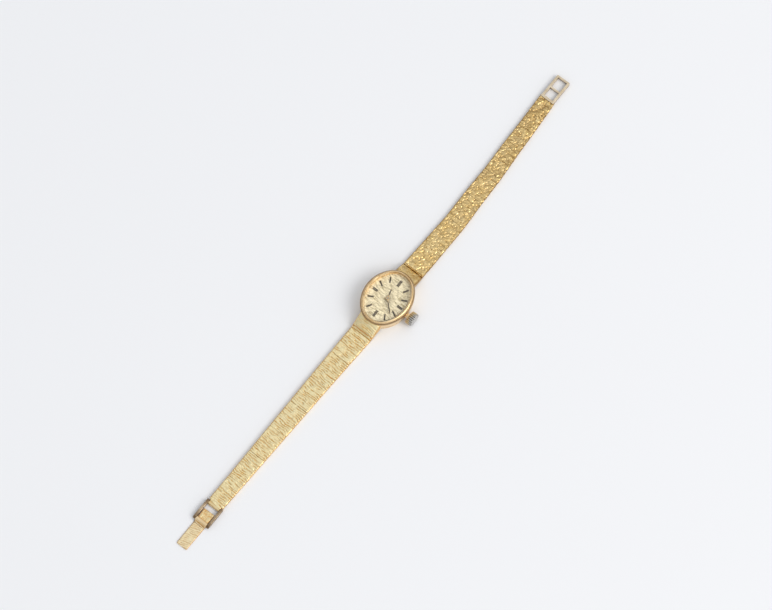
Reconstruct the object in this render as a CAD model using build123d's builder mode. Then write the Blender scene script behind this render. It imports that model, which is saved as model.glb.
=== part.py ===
from build123d import *
from math import atan2, cos, degrees, hypot, pi, radians, sin
import os

# Oval dress watch on a woven mesh bracelet, laid open on a table with the dial up.
# Millimetres. +Z points up out of the dial, +Y to twelve o'clock and +X to three.
# The origin is the centre of the case back's flat outer face.

# General clearances, and how many flats stand for the round of the smallest turned pieces
overrun = 1.0
oval_arc_share = 0.785
rim_sides = 24
turned_sides = 12
bead_sides = 8
tiny_sides = 6
spiral_chords = 9
pivot_play = 0.02
seat_gap = 0.02
running_gap = 0.06

# Case
case_half_width = 7.3
case_half_length = 9.0
case_height = 3.85
case_flank_height = 1.5
case_flank_width = 0.45
pocket_wall = 1.1
dial_seat_side_wall = 0.85
dial_seat_end_wall = 0.45
pocket_half_width = case_half_width - pocket_wall
pocket_half_length = case_half_length - pocket_wall
dial_seat_half_width = case_half_width - dial_seat_side_wall
dial_seat_half_length = case_half_length - dial_seat_end_wall

# Case back
back_inset = 0.35
back_half_width = case_half_width - back_inset
back_half_length = case_half_length - back_inset
back_thickness = 0.75
back_bevel = 0.3
back_rim_height = 0.35
back_rim_wall = 0.25

# Bezel and crystal
bezel_side_overhang = 0.15
bezel_end_overhang = 0.1
bezel_half_width = case_half_width + bezel_side_overhang
bezel_half_length = case_half_length + bezel_end_overhang
bezel_height = 1.3
bezel_shoulder_height = 0.55
bezel_shoulder_width = 0.7
opening_side_wall = 1.32
opening_end_wall = 0.86
opening_half_width = bezel_half_width - opening_side_wall
opening_half_length = bezel_half_length - opening_end_wall
rehaut_gap = 0.05
crystal_inset = 0.03
crystal_half_width = dial_seat_half_width - crystal_inset
crystal_half_length = dial_seat_half_length - crystal_inset
crystal_seat_depth = 0.9
crystal_rise = 0.3
crystal_bevel_height = 0.28
crystal_bevel_width = 1.2

# Dial and hour markers
dial_thickness = 0.25
dial_centre_hole_radius = 0.5
dial_foot_radius = 0.2
dial_foot_share = 0.8
marker_height = 0.12
marker_ring_width_share = 0.734
marker_ring_length_share = 0.698
marker_ring_half_width = opening_half_width * marker_ring_width_share
marker_ring_half_length = opening_half_length * marker_ring_length_share
marker_ring_power = 2.65
thin_marker_length = 1.8
thin_marker_width = 0.45
wide_marker_length = 2.1
side_marker_length = 1.75
wide_marker_width = 0.72
wide_marker_split = 0.1

# Hands
hour_hand_length = 2.95
minute_hand_length = 4.8
hand_width = 0.37
hand_tip_width = 0.24
hand_thickness = 0.1
hand_groove_start = 1.1
hand_groove_width = 0.16
hand_groove_depth = 0.04
hour_hub_radius = 0.62
minute_hub_radius = 0.6
hour_hand_lift = 0.28
minute_hand_lift = 0.17
hour_hand_angle = 346.0
minute_hand_angle = 134.0

# Movement plates
plate_half_width = 5.8
plate_half_length = 7.1
plate_thickness = 0.8
bridge_lift = 0.43
bridge_thickness = 0.2
train_space = 0.98
bridge_wall = 0.35
cock_drop = 0.2
wheel_clearance = 0.12
screw_radius = 0.14
screw_head_radius = 0.32
screw_head_height = 0.16
screw_boss_radius = 0.28
screw_depth = 0.5
jewel_radius = 0.3
jewel_height = 0.2
pivot_radius = 0.07
dial_lift = 0.49

# Gear train
barrel_teeth = 54
centre_pinion_leaves = 9
centre_teeth = 48
third_pinion_leaves = 6
third_teeth = 45
fourth_pinion_leaves = 6
fourth_teeth = 60
escape_pinion_leaves = 6
escape_teeth = 15
barrel_module = 0.105
centre_module = 0.085
third_module = 0.066
fourth_module = 0.046
escape_radius = 0.95
escape_tooth_shares = ((0.72, 0.0), (1.0, 0.42), (0.97, 0.6), (0.72, 0.62))
wheel_thickness = 0.13
spoke_width = 0.3
rim_share = 0.8
tooth_tip_share = 0.85
tooth_root_share = 1.15
arbor_radius = 0.12
barrel_angle = 65.0
third_angle = -52.0
fourth_angle = 200.0
escape_angle = 215.0
third_wheel_lift = 0.24
fourth_wheel_lift = 0.5
centre_wheel_lift = 0.74

# Barrel and its spring
barrel_lift = 0.04
barrel_height = 0.6
barrel_tooth_height = 0.22
barrel_wall = 0.12
barrel_drum_inset = 0.25
barrel_arbor_radius = 0.33
barrel_core_radius = 0.7
spring_strip = 0.1
spring_turns = 2
arbor_square = 0.44

# Balance and escapement
balance_distance = 2.09
balance_angle = 139.5
balance_radius = 1.75
balance_rim = 0.24
balance_bar = 0.26
balance_lift = 0.07
balance_thickness = 0.16
roller_radius = 0.3
impulse_pin_radius = 0.05
hairspring_strip = 0.05
hairspring_radius = 0.9
hairspring_collet_radius = 0.2
hairspring_turns = 3
hairspring_height = 0.1
hairspring_drop = 0.09
pallet_distance = 1.13
pallet_reach = 0.52
pallet_width = 0.16
pallet_length = 0.3
fork_width = 0.16
fork_length = 0.58
fork_horn = 0.3
fork_slot = 0.15

# Motion works
cannon_leaves = 8
minute_teeth = 24
minute_leaves = 8
hour_teeth = 32
motion_distance = 1.6
motion_angle = 120.0
motion_lift = 0.06
motion_step = 0.18
cannon_bore = 0.2
cannon_radius = 0.28
hour_pipe_bore = 0.32
hour_pipe_radius = 0.42
minute_post_radius = 0.12

# Winding and setting work
stem_height = 2.2
stem_radius = 0.3
stem_pilot_radius = 0.16
stem_groove_radius = 0.18
stem_inner_end = 3.3
stem_square = 0.36
clutch_start = 3.75
clutch_length = 0.55
clutch_radius = 0.55
winding_pinion_start = 4.42
winding_pinion_width = 0.34
winding_pinion_leaves = 14
winding_pinion_radius = 1.12
lever_start = 4.92
lever_width = 0.18
lever_length = 0.9
lever_thickness = 0.7
lever_rise = 0.1
stem_groove_margin = 0.04
crown_wheel_teeth = 24
contrate_teeth = 16
crown_wheel_radius = 1.35
ratchet_teeth = 40
ratchet_drop = 0.36
ratchet_thickness = 0.18
crown_tooth_height = 0.15
crown_tooth_length = 0.22
click_length = 1.1
click_width = 0.45
click_thickness = 0.3
click_angle = 150.0
click_lean = 65.0
plate_window_margin = 0.12

# Crown
crown_stand_off = 0.8
crown_start = case_half_width + crown_stand_off
crown_length = 2.2
crown_radius = 2.05
crown_flutes = 20
flute_width = 0.34
flute_depth = 0.16
crown_bevel = 0.28
crown_end_taper = 35.0
crown_recess_radius = 1.0
crown_recess_depth = 0.5
tube_radius = 0.8
tube_bore = 0.36
tube_entry = 0.3
stem_screw_length = 1.2

# Bracelet
end_piece_reach = 3.85
seam_distance = case_half_length + end_piece_reach
band_width_at_case = 7.05
band_width_at_end = 5.0
upper_band_length = 66.1
lower_band_length = 66.2
segments = 7
rows_per_segment = 6
band_thickness = 1.25
ridge_height = 0.12
ridge_share = 0.42
hinge_height = 0.62
nose_radius = 0.34
hinge_play = 0.05
groove_wall_reach = 0.22
neck_half_height = 0.17
mouth_half_height = 0.31
gap_top = 0.14
gap_bottom = 0.3

# Sideways drift of each joint from the dial's centre line, at rest
upper_drift = 1.6
upper_drift_shares = (0.0, 0.17, 0.3, 0.05, -0.04, -0.4, -0.65, -1.0)
lower_drift = 1.1
lower_drift_shares = (0.0, -0.2, -0.35, -0.48, -0.6, -0.7, -0.82, -1.0)

# End pieces brazed to the case
end_piece_width = 7.2
end_piece_sink = 1.8
end_piece_root = case_half_length - end_piece_sink
end_piece_top = 4.45
end_piece_foot = 0.95
end_piece_tip_height = 1.5
end_piece_tip_foot = 0.12
end_piece_tip_inset = 0.42
braze_gap = 0.01

# Ladder
ladder_width = 4.6
ladder_rail = 0.7
ladder_height = 1.25
ladder_bar = 0.75
ladder_window_lengths = (3.1, 3.6)
ladder_rung = 0.4
ladder_end_rung = 0.5
ladder_corner = 0.3

# Clasp
clasp_pin_radius = 0.25
clasp_width = 5.7
clasp_rail = 0.8
clasp_height = 1.35
clasp_pin_height = 0.66
clasp_bar_reach = 5.75
clasp_bar_radius = 0.38
clasp_bar_height = 0.72
clasp_ear_radius = 0.62
clasp_ear_play = 0.05
end_bar_radius = 0.6
end_bar_width = 4.0
end_bar_neck = 0.42
tongue_knuckle_wall = 0.32
tongue_knuckle_width = 3.9
tongue_play = 0.05
tongue_nose_width = 3.6
tongue_nose_length = 3.2
tongue_plate_width = 3.6
tongue_shoulder_width = 3.75
tongue_shoulder_length = 0.6
tongue_plate_length = 7.8
tongue_thickness = 0.4

# Heights worked out from the stack
case_bottom = back_thickness
case_top = case_bottom + case_height
bridge_z = back_thickness + bridge_lift
bridge_top = bridge_z + bridge_thickness
plate_z = bridge_top + train_space
plate_top = plate_z + plate_thickness
dial_z = plate_top + dial_lift
dial_top = dial_z + dial_thickness
bezel_top = case_top + bezel_height
crystal_seat_z = bezel_top - crystal_seat_depth
crystal_top = bezel_top + crystal_rise
hour_hand_z = dial_top + hour_hand_lift
minute_hand_z = hour_hand_z + hand_thickness + minute_hand_lift
ratchet_z = bridge_z - ratchet_drop
barrel_z = bridge_top + barrel_lift
cock_z = bridge_z - cock_drop
balance_z = bridge_top + balance_lift
hairspring_z = balance_z - hairspring_drop - hairspring_height
escape_z = plate_z - wheel_clearance - wheel_thickness
motion_z = plate_top + motion_lift
hour_wheel_z = motion_z + motion_step
third_wheel_z = bridge_top + third_wheel_lift
fourth_wheel_z = bridge_top + fourth_wheel_lift
centre_wheel_z = bridge_top + centre_wheel_lift
spring_z = barrel_z + barrel_wall + seat_gap
spring_height = barrel_height - (barrel_wall + seat_gap) * 2


def polar(start, distance, angle):
    """The point at a distance and an angle in degrees from a start point."""
    return (start[0] + distance * cos(radians(angle)), start[1] + distance * sin(radians(angle)))


def bearing(start, end):
    """The angle in degrees of the line from one point to another."""
    return degrees(atan2(end[1] - start[1], end[0] - start[0]))


# Places of the arbors, each at its true centre distance
centre_place = (0.0, 0.0)
barrel_place = polar(centre_place, barrel_module * (barrel_teeth + centre_pinion_leaves) / 2, barrel_angle)
third_place = polar(centre_place, centre_module * (centre_teeth + third_pinion_leaves) / 2, third_angle)
fourth_place = polar(third_place, third_module * (third_teeth + fourth_pinion_leaves) / 2, fourth_angle)
escape_place = polar(fourth_place, fourth_module * (fourth_teeth + escape_pinion_leaves) / 2, escape_angle)
balance_place = polar(escape_place, balance_distance, balance_angle)
pallet_place = polar(escape_place, pallet_distance, balance_angle)
motion_place = polar(centre_place, motion_distance, motion_angle)
crown_wheel_place = (winding_pinion_start + winding_pinion_width - crown_wheel_radius, 0.0)
ratchet_distance = hypot(
    barrel_place[0] - crown_wheel_place[0],
    barrel_place[1] - crown_wheel_place[1],
)
ratchet_radius = ratchet_distance - crown_wheel_radius

# Bridge screws, as shares of the plate's half width and half length
barrel_bridge_screw_shares = ((-0.59, 0.55), (-0.8, 0.12), (0.83, 0.37))
train_bridge_screw_shares = ((0.62, -0.55), (0.15, -0.77))
cock_screw_shares = ((-0.57, -0.65),)
# Outlines of the three bridges, as shares of the plate's half width and half length
barrel_bridge_shares = ((-1.1, -0.04), (1.1, -0.04), (1.1, 1.1), (-1.1, 1.1))
train_bridge_shares = ((-0.3, -0.06), (-0.3, -1.1), (1.1, -1.1), (1.1, -0.06))
cock_shares = ((-0.34, -0.06), (-0.34, -1.1), (-1.1, -1.1), (-1.1, -0.06))


def plate_points(shares):
    """Points on the movement given as shares of the plate's half width and half length."""
    return [(plate_half_width * x, plate_half_length * y) for x, y in shares]


def save(part, name):
    """Label a finished piece and write it under its own name."""
    part.label = name
    export_step(part, "parts/" + name + ".step")


def oval_face(half_width, half_length):
    """An oval of four arcs that run smoothly into each other."""
    end_radius = half_width - (half_width - half_width ** 2 / half_length) * oval_arc_share
    end_offset = half_length - end_radius
    side_radius = (end_offset ** 2 + half_width ** 2 - end_radius ** 2) / (half_width - end_radius) / 2
    side_offset = side_radius - half_width
    reach = side_radius - end_radius
    join_x = side_radius * side_offset / reach - side_offset
    join_y = side_radius * end_offset / reach
    with BuildSketch() as face:
        with BuildLine():
            ThreePointArc((join_x, -join_y), (half_width, 0), (join_x, join_y))
            ThreePointArc((join_x, join_y), (0, half_length), (-join_x, join_y))
            ThreePointArc((-join_x, join_y), (-half_width, 0), (-join_x, -join_y))
            ThreePointArc((-join_x, -join_y), (0, -half_length), (join_x, -join_y))
        make_face()
    return face.sketch


def gear_face(teeth, module, turn):
    """A spur gear's face, with one tooth centred at an angle in degrees."""
    pitch_radius = module * teeth / 2
    root = pitch_radius - module * tooth_root_share
    tip = pitch_radius + module * tooth_tip_share
    step = 2 * pi / teeth
    points = []
    for number in range(teeth):
        for radius, share in ((tip, 0.0), (root, 0.5)):
            angle = radians(turn) + (number + share) * step
            points.append((radius * cos(angle), radius * sin(angle)))
    with BuildSketch() as face:
        with BuildLine():
            Polyline(*points, close=True)
        make_face()
    return face.sketch


def spoked_gear_face(teeth, module, turn):
    """A gear's face crossed out to a rim, a hub and four spokes."""
    inner = module * teeth / 2 * rim_share
    near = spoke_width / 2
    far = (inner ** 2 - near ** 2) ** 0.5
    corner = inner * cos(radians(45))
    with BuildSketch() as window:
        with BuildLine():
            Polyline((near, near), (far, near), (corner, corner), (near, far), close=True)
        make_face()
    with BuildSketch() as face:
        add(gear_face(teeth, module, turn))
        with PolarLocations(0, 4):
            add(window.sketch, mode=Mode.SUBTRACT)
    return face.sketch


def spiral_face(inner, outer, turns, strip):
    """A flat spiral strip of half circles, from an inner to an outer radius."""
    chords = turns * spiral_chords
    points = []
    for number in range(chords + 1):
        radius = inner + (outer - inner) * number / chords
        points.append(polar((0, 0), radius, 360 * number / spiral_chords))
    with BuildSketch() as face:
        with BuildLine():
            Polyline(*points)
        trace(line_width=strip)
    return face.sketch


def pillar(place, radius, bottom, top, sides=turned_sides):
    """A turned post on a place, between two heights, in the running part."""
    with BuildSketch(Plane.XY.offset(bottom)) as foot:
        with Locations(place):
            RegularPolygon(radius, sides)
    extrude(foot.sketch, amount=top - bottom)


def hole(radius, sides=turned_sides):
    """Cut a small round hole's outline in the running sketch, never under its radius."""
    RegularPolygon(radius, sides, major_radius=False, mode=Mode.SUBTRACT)


def jewel(place, bottom, height):
    """A pierced bearing stone on a place."""
    with BuildPart() as stone:
        with BuildSketch(Plane.XY.offset(bottom)):
            with Locations(place):
                RegularPolygon(jewel_radius, tiny_sides)
                hole(pivot_radius + pivot_play, tiny_sides)
        extrude(amount=height)
    return stone.part


def make_case_middle():
    """The oval case band with its movement pocket, dial seat and crown hole."""
    with BuildPart() as case_middle:
        with BuildSketch(Plane.XY.offset(case_bottom)):
            add(oval_face(case_half_width, case_half_length))
        extrude(amount=case_height)
        chamfer(case_middle.edges().group_by(Axis.Z)[0], length=case_flank_height, length2=case_flank_width)
        with BuildSketch(Plane.XY.offset(case_bottom)):
            add(oval_face(pocket_half_width, pocket_half_length))
        extrude(amount=case_height, mode=Mode.SUBTRACT)
        with BuildSketch(Plane.XY.offset(dial_z)):
            add(oval_face(dial_seat_half_width, dial_seat_half_length))
        extrude(amount=case_top - dial_z, mode=Mode.SUBTRACT)
        with BuildSketch(Plane.YZ):
            with Locations((0, stem_height)):
                RegularPolygon(tube_radius + seat_gap, turned_sides, major_radius=False)
        extrude(amount=case_half_width + overrun, mode=Mode.SUBTRACT)
    save(case_middle.part, "case_middle")


def make_case_back():
    """The flat snap back, with the rim that grips the case pocket."""
    with BuildPart() as case_back:
        with BuildSketch(Plane.XY):
            add(oval_face(back_half_width, back_half_length))
        extrude(amount=back_thickness)
        chamfer(case_back.edges().group_by(Axis.Z)[0], length=back_bevel)
        with BuildSketch(Plane.XY.offset(back_thickness)):
            add(oval_face(pocket_half_width - seat_gap, pocket_half_length - seat_gap))
            rim_inner_width = pocket_half_width - seat_gap - back_rim_wall
            rim_inner_length = pocket_half_length - seat_gap - back_rim_wall
            add(oval_face(rim_inner_width, rim_inner_length), mode=Mode.SUBTRACT)
        extrude(amount=back_rim_height)
    save(case_back.part, "case_back")


def make_bezel():
    """The rounded bezel, with the crystal seat and the wall that goes down to the dial."""
    with BuildPart() as bezel:
        with BuildSketch(Plane.XY.offset(case_top)):
            add(oval_face(bezel_half_width, bezel_half_length))
        extrude(amount=bezel_height)
        chamfer(bezel.edges().group_by(Axis.Z)[-1], length=bezel_shoulder_height, length2=bezel_shoulder_width)
        with BuildSketch(Plane.XY.offset(dial_top + rehaut_gap)):
            add(oval_face(dial_seat_half_width - seat_gap, dial_seat_half_length - seat_gap))
        extrude(amount=case_top - dial_top - rehaut_gap)
        with BuildSketch(Plane.XY.offset(dial_top)):
            add(oval_face(opening_half_width, opening_half_length))
        extrude(amount=bezel_top - dial_top, mode=Mode.SUBTRACT)
        with BuildSketch(Plane.XY.offset(crystal_seat_z)):
            add(oval_face(crystal_half_width + seat_gap, crystal_half_length + seat_gap))
        extrude(amount=crystal_seat_depth, mode=Mode.SUBTRACT)
    save(bezel.part, "bezel")


def make_crystal():
    """The clear oval crystal with a broad, low bevel round its top."""
    with BuildPart() as crystal:
        with BuildSketch(Plane.XY.offset(crystal_seat_z)):
            add(oval_face(crystal_half_width, crystal_half_length))
        extrude(amount=crystal_top - crystal_seat_z)
        chamfer(crystal.edges().group_by(Axis.Z)[-1], length=crystal_bevel_height, length2=crystal_bevel_width)
    save(crystal.part, "crystal")


def make_movement_ring():
    """The spacer that centres the movement in the case pocket, slotted for the stem."""
    bottom = back_thickness + back_rim_height + running_gap
    with BuildPart() as movement_ring:
        with BuildSketch(Plane.XY.offset(bottom)):
            add(oval_face(pocket_half_width - seat_gap, pocket_half_length - seat_gap))
            add(oval_face(plate_half_width + seat_gap, plate_half_length + seat_gap), mode=Mode.SUBTRACT)
        extrude(amount=dial_z - bottom)
        with BuildSketch(Plane.YZ):
            with Locations((0, stem_height)):
                RegularPolygon(tube_radius + running_gap, turned_sides, major_radius=False)
        extrude(amount=case_half_width, mode=Mode.SUBTRACT)
    save(movement_ring.part, "movement_ring")


def make_dial():
    """The oval dial plate on two feet."""
    with BuildPart() as dial:
        with BuildSketch(Plane.XY.offset(dial_z)):
            add(oval_face(dial_seat_half_width - seat_gap, dial_seat_half_length - seat_gap))
            hole(dial_centre_hole_radius)
        extrude(amount=dial_thickness)
        for side in (-1, 1):
            foot_place = (0, side * plate_half_length * dial_foot_share)
            pillar(foot_place, dial_foot_radius, plate_top, dial_z, tiny_sides)
    save(dial.part, "dial")


def marker_place(hour):
    """Where an hour's marker stands on the oval ring of markers."""
    angle = radians(90 - hour * 30)
    across = abs(cos(angle) / marker_ring_half_width) ** marker_ring_power
    along = abs(sin(angle) / marker_ring_half_length) ** marker_ring_power
    radius = (across + along) ** (-1 / marker_ring_power)
    return (radius * cos(angle), radius * sin(angle))


def make_hour_markers():
    """Twelve applied bars, split in two at each quarter."""
    with BuildPart() as hour_markers:
        with BuildSketch(Plane.XY.offset(dial_top)):
            for hour in range(12):
                with Locations(Location(marker_place(hour), -hour * 30)):
                    if hour % 3:
                        Rectangle(thin_marker_width, thin_marker_length)
                    else:
                        length = wide_marker_length if hour % 6 == 0 else side_marker_length
                        Rectangle(wide_marker_width, length)
                        Rectangle(wide_marker_split, length, mode=Mode.SUBTRACT)
        extrude(amount=marker_height)
    save(hour_markers.part, "hour_markers")


def make_hand(name, length, hub_radius, bore, bottom, angle):
    """A straight hand that narrows to its tip, with a groove along its blade."""
    plane = Plane(origin=(0, 0, bottom), x_dir=Vector(sin(radians(angle)), cos(radians(angle)), 0))
    top = plane.offset(hand_thickness - hand_groove_depth)
    with BuildPart() as hand:
        with BuildSketch(plane):
            with BuildLine():
                Polyline(
                    (0, -hand_width / 2),
                    (length, -hand_tip_width / 2),
                    (length, hand_tip_width / 2),
                    (0, hand_width / 2),
                    close=True,
                )
            make_face()
            RegularPolygon(hub_radius, rim_sides)
            hole(bore)
        extrude(amount=hand_thickness)
        groove_end = length - hand_groove_width
        with BuildSketch(top):
            with Locations(((hand_groove_start + groove_end) / 2, 0)):
                Rectangle(groove_end - hand_groove_start, hand_groove_width)
        extrude(amount=hand_groove_depth, mode=Mode.SUBTRACT)
    save(hand.part, name)


def make_mainplate():
    """The movement's base plate, with bearings, the winding window and the minute wheel's post."""
    window_end = winding_pinion_start + winding_pinion_width + plate_window_margin
    window_start = clutch_start - plate_window_margin
    window_width = (winding_pinion_radius + plate_window_margin) * 2
    with BuildPart() as mainplate:
        with BuildSketch(Plane.XY.offset(plate_z)):
            add(oval_face(plate_half_width, plate_half_length))
            hole(arbor_radius + pivot_play)
            with Locations(third_place, fourth_place, escape_place, pallet_place, balance_place):
                hole(jewel_radius + pivot_play / 2, tiny_sides)
            with Locations(barrel_place):
                hole(barrel_arbor_radius + pivot_play)
            with Locations(((window_start + window_end) / 2, 0)):
                Rectangle(window_end - window_start, window_width, mode=Mode.SUBTRACT)
            screws = barrel_bridge_screw_shares + train_bridge_screw_shares + cock_screw_shares
            with Locations(*plate_points(screws)):
                hole(screw_radius + pivot_play, tiny_sides)
        extrude(amount=plate_thickness)
        with BuildSketch(Plane.YZ.offset(stem_inner_end - running_gap)):
            with Locations((0, stem_height)):
                RegularPolygon(stem_radius + running_gap, turned_sides, major_radius=False)
        extrude(amount=plate_half_width, mode=Mode.SUBTRACT)
        pillar(motion_place, minute_post_radius, plate_top, dial_z - running_gap)
    save(mainplate.part, "mainplate")


def make_bridge(name, outline_shares, screw_shares, bottom, bearings, clear_places, slots):
    """A bridge: a plate over the train, walled at its outer edge down to the mainplate.

    Bearings are (place, radius, sides), clear places (place, radius) keep the wall off the wheels,
    and slots (x, y, width, length) open the plate over the winding work.
    """
    with BuildSketch() as outline:
        with BuildLine():
            Polyline(*plate_points(outline_shares), close=True)
        make_face()
        add(oval_face(plate_half_width, plate_half_length), mode=Mode.INTERSECT)
    with BuildPart() as bridge:
        with BuildSketch(Plane.XY.offset(bottom)):
            add(outline.sketch)
        extrude(amount=bridge_thickness)
        with BuildSketch(Plane.XY.offset(bottom)):
            add(outline.sketch)
            add(oval_face(plate_half_width - bridge_wall, plate_half_length - bridge_wall), mode=Mode.SUBTRACT)
            for place, radius in clear_places:
                with Locations(place):
                    hole(radius, rim_sides)
        extrude(amount=plate_z - bottom)
        for place in plate_points(screw_shares):
            pillar(place, screw_boss_radius, bottom, plate_z, tiny_sides)
        with BuildSketch(Plane.XY.offset(bottom)):
            with Locations(*plate_points(screw_shares)):
                RegularPolygon(screw_radius + pivot_play, tiny_sides, major_radius=False)
            for place, radius, sides in bearings:
                with Locations(place):
                    RegularPolygon(radius, sides, major_radius=False)
            for x, y, width, length in slots:
                with Locations((x, y)):
                    Rectangle(width, length)
        extrude(amount=plate_z - bottom, mode=Mode.SUBTRACT)
    save(bridge.part, name)


def make_bridges():
    """The barrel bridge, the train bridge and the balance cock."""
    jewel_hole = jewel_radius + pivot_play / 2
    slot_start = crown_wheel_place[0] + crown_wheel_radius - crown_tooth_length - plate_window_margin
    slot_end = plate_half_width + overrun
    slot_width = (winding_pinion_radius + plate_window_margin) * 2
    slot = ((slot_start + slot_end) / 2, 0, slot_end - slot_start, slot_width)
    barrel_room = barrel_module * (barrel_teeth / 2 + 1) + wheel_clearance
    balance_room = balance_radius + wheel_clearance
    make_bridge(
        "barrel_bridge",
        barrel_bridge_shares,
        barrel_bridge_screw_shares,
        bridge_z,
        [
            (centre_place, pivot_radius + pivot_play, tiny_sides),
            (barrel_place, barrel_arbor_radius + pivot_play, turned_sides),
        ],
        [(barrel_place, barrel_room)],
        [slot],
    )
    make_bridge(
        "train_bridge",
        train_bridge_shares,
        train_bridge_screw_shares,
        bridge_z,
        [(place, jewel_hole, tiny_sides) for place in (third_place, fourth_place, escape_place)],
        [(third_place, third_module * (third_teeth / 2 + 1) + wheel_clearance)],
        [slot],
    )
    make_bridge(
        "balance_cock",
        cock_shares,
        cock_screw_shares,
        cock_z,
        [(balance_place, jewel_hole, tiny_sides)],
        [(balance_place, balance_room)],
        [],
    )


def make_bridge_screws():
    """Six cheese-head screws through the bridges into the mainplate."""
    with BuildPart() as bridge_screws:
        for shares, bottom in (
            (barrel_bridge_screw_shares + train_bridge_screw_shares, bridge_z),
            (cock_screw_shares, cock_z),
        ):
            for place in plate_points(shares):
                pillar(place, screw_head_radius, bottom - screw_head_height, bottom, tiny_sides)
                pillar(place, screw_radius, bottom, plate_z + screw_depth, tiny_sides)
    save(bridge_screws.part, "bridge_screws")


def make_jewels():
    """Pierced bearing stones, one in the mainplate and one in a bridge for each arbor."""
    stones = []
    for place in (third_place, fourth_place, escape_place, pallet_place, balance_place):
        stones.append(jewel(place, plate_z, jewel_height))
    for place in (third_place, fourth_place, escape_place):
        stones.append(jewel(place, bridge_z, bridge_thickness))
    stones.append(jewel(balance_place, cock_z, bridge_thickness))
    save(Compound(children=stones), "jewels")


def make_arbor_wheel(name, place, wheel, wheel_z, pinion, pinion_z, pinion_height, bottom, top):
    """A wheel and a pinion on one arbor, with a pivot at each end."""
    with BuildPart() as wheel_set:
        with BuildSketch(Plane.XY.offset(wheel_z)):
            with Locations(place):
                add(wheel)
        extrude(amount=wheel_thickness)
        with BuildSketch(Plane.XY.offset(pinion_z)):
            with Locations(place):
                add(pinion)
        extrude(amount=pinion_height)
        pillar(place, arbor_radius, bottom + running_gap, top - running_gap, tiny_sides)
        pillar(place, pivot_radius, bottom - bridge_thickness / 2, top + jewel_height / 2, tiny_sides)
    save(wheel_set.part, name)


def make_train():
    """The going train from the centre wheel to the escape wheel."""
    to_barrel = bearing(centre_place, barrel_place)
    with BuildPart() as centre_wheel:
        with BuildSketch(Plane.XY.offset(centre_wheel_z)):
            add(spoked_gear_face(centre_teeth, centre_module, third_angle))
        extrude(amount=wheel_thickness)
        with BuildSketch(Plane.XY.offset(barrel_z)):
            add(gear_face(centre_pinion_leaves, barrel_module, to_barrel + 180 / centre_pinion_leaves))
        extrude(amount=barrel_height)
        pillar(centre_place, arbor_radius, bridge_top + running_gap, minute_hand_z - running_gap)
        pillar(centre_place, pivot_radius, bridge_z, bridge_top + running_gap)
    save(centre_wheel.part, "centre_wheel")
    make_arbor_wheel(
        "third_wheel",
        third_place,
        spoked_gear_face(third_teeth, third_module, fourth_angle),
        third_wheel_z,
        gear_face(third_pinion_leaves, centre_module, third_angle + 180 + 180 / third_pinion_leaves),
        centre_wheel_z - running_gap,
        wheel_thickness + running_gap * 2,
        bridge_top,
        plate_z,
    )
    make_arbor_wheel(
        "fourth_wheel",
        fourth_place,
        spoked_gear_face(fourth_teeth, fourth_module, escape_angle),
        fourth_wheel_z,
        gear_face(fourth_pinion_leaves, third_module, fourth_angle + 180 + 180 / fourth_pinion_leaves),
        third_wheel_z - running_gap,
        wheel_thickness + running_gap * 2,
        bridge_top,
        plate_z,
    )
    make_arbor_wheel(
        "escape_wheel",
        escape_place,
        escape_face(),
        escape_z,
        gear_face(escape_pinion_leaves, fourth_module, escape_angle + 180 + 180 / escape_pinion_leaves),
        fourth_wheel_z - running_gap,
        wheel_thickness + running_gap * 2,
        bridge_top,
        plate_z,
    )


def escape_face():
    """The escape wheel's face: club-like teeth that all lean one way."""
    step = 2 * pi / escape_teeth
    points = []
    for number in range(escape_teeth):
        for share, turn in escape_tooth_shares:
            angle = (number + turn) * step
            points.append((escape_radius * share * cos(angle), escape_radius * share * sin(angle)))
    with BuildSketch() as face:
        with BuildLine():
            Polyline(*points, close=True)
        make_face()
    return face.sketch


def make_barrel():
    """The toothed barrel drum, its coiled mainspring and its arbor."""
    to_centre = bearing(barrel_place, centre_place)
    drum_radius = barrel_module * barrel_teeth / 2 - barrel_drum_inset
    drum_inner = drum_radius - barrel_wall
    bore = barrel_arbor_radius + pivot_play
    with BuildPart() as mainspring_barrel:
        with BuildSketch(Plane.XY.offset(barrel_z)):
            with Locations(barrel_place):
                add(gear_face(barrel_teeth, barrel_module, to_centre))
        extrude(amount=barrel_tooth_height)
        pillar(barrel_place, drum_radius, barrel_z, barrel_z + barrel_height, rim_sides)
        with BuildSketch(Plane.XY.offset(barrel_z + barrel_wall)):
            with Locations(barrel_place):
                RegularPolygon(drum_inner, rim_sides)
        extrude(amount=barrel_height - barrel_wall * 2, mode=Mode.SUBTRACT)
        with BuildSketch(Plane.XY.offset(barrel_z)):
            with Locations(barrel_place):
                RegularPolygon(bore, turned_sides, major_radius=False)
        extrude(amount=barrel_height, mode=Mode.SUBTRACT)
    save(mainspring_barrel.part, "mainspring_barrel")
    spring_inner = barrel_core_radius + running_gap + spring_strip
    spring_outer = drum_inner - running_gap - spring_strip
    with BuildPart() as mainspring:
        with BuildSketch(Plane.XY.offset(spring_z)):
            with Locations(barrel_place):
                add(spiral_face(spring_inner, spring_outer, spring_turns, spring_strip))
        extrude(amount=spring_height)
    save(mainspring.part, "mainspring")
    with BuildPart() as barrel_arbor:
        with BuildSketch(Plane.XY.offset(ratchet_z)):
            with Locations(barrel_place):
                Rectangle(arbor_square, arbor_square)
        extrude(amount=ratchet_thickness)
        pillar(barrel_place, barrel_arbor_radius, ratchet_z + ratchet_thickness, plate_z + screw_depth)
        pillar(barrel_place, barrel_core_radius, spring_z, spring_z + spring_height)
    save(barrel_arbor.part, "barrel_arbor")


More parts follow.
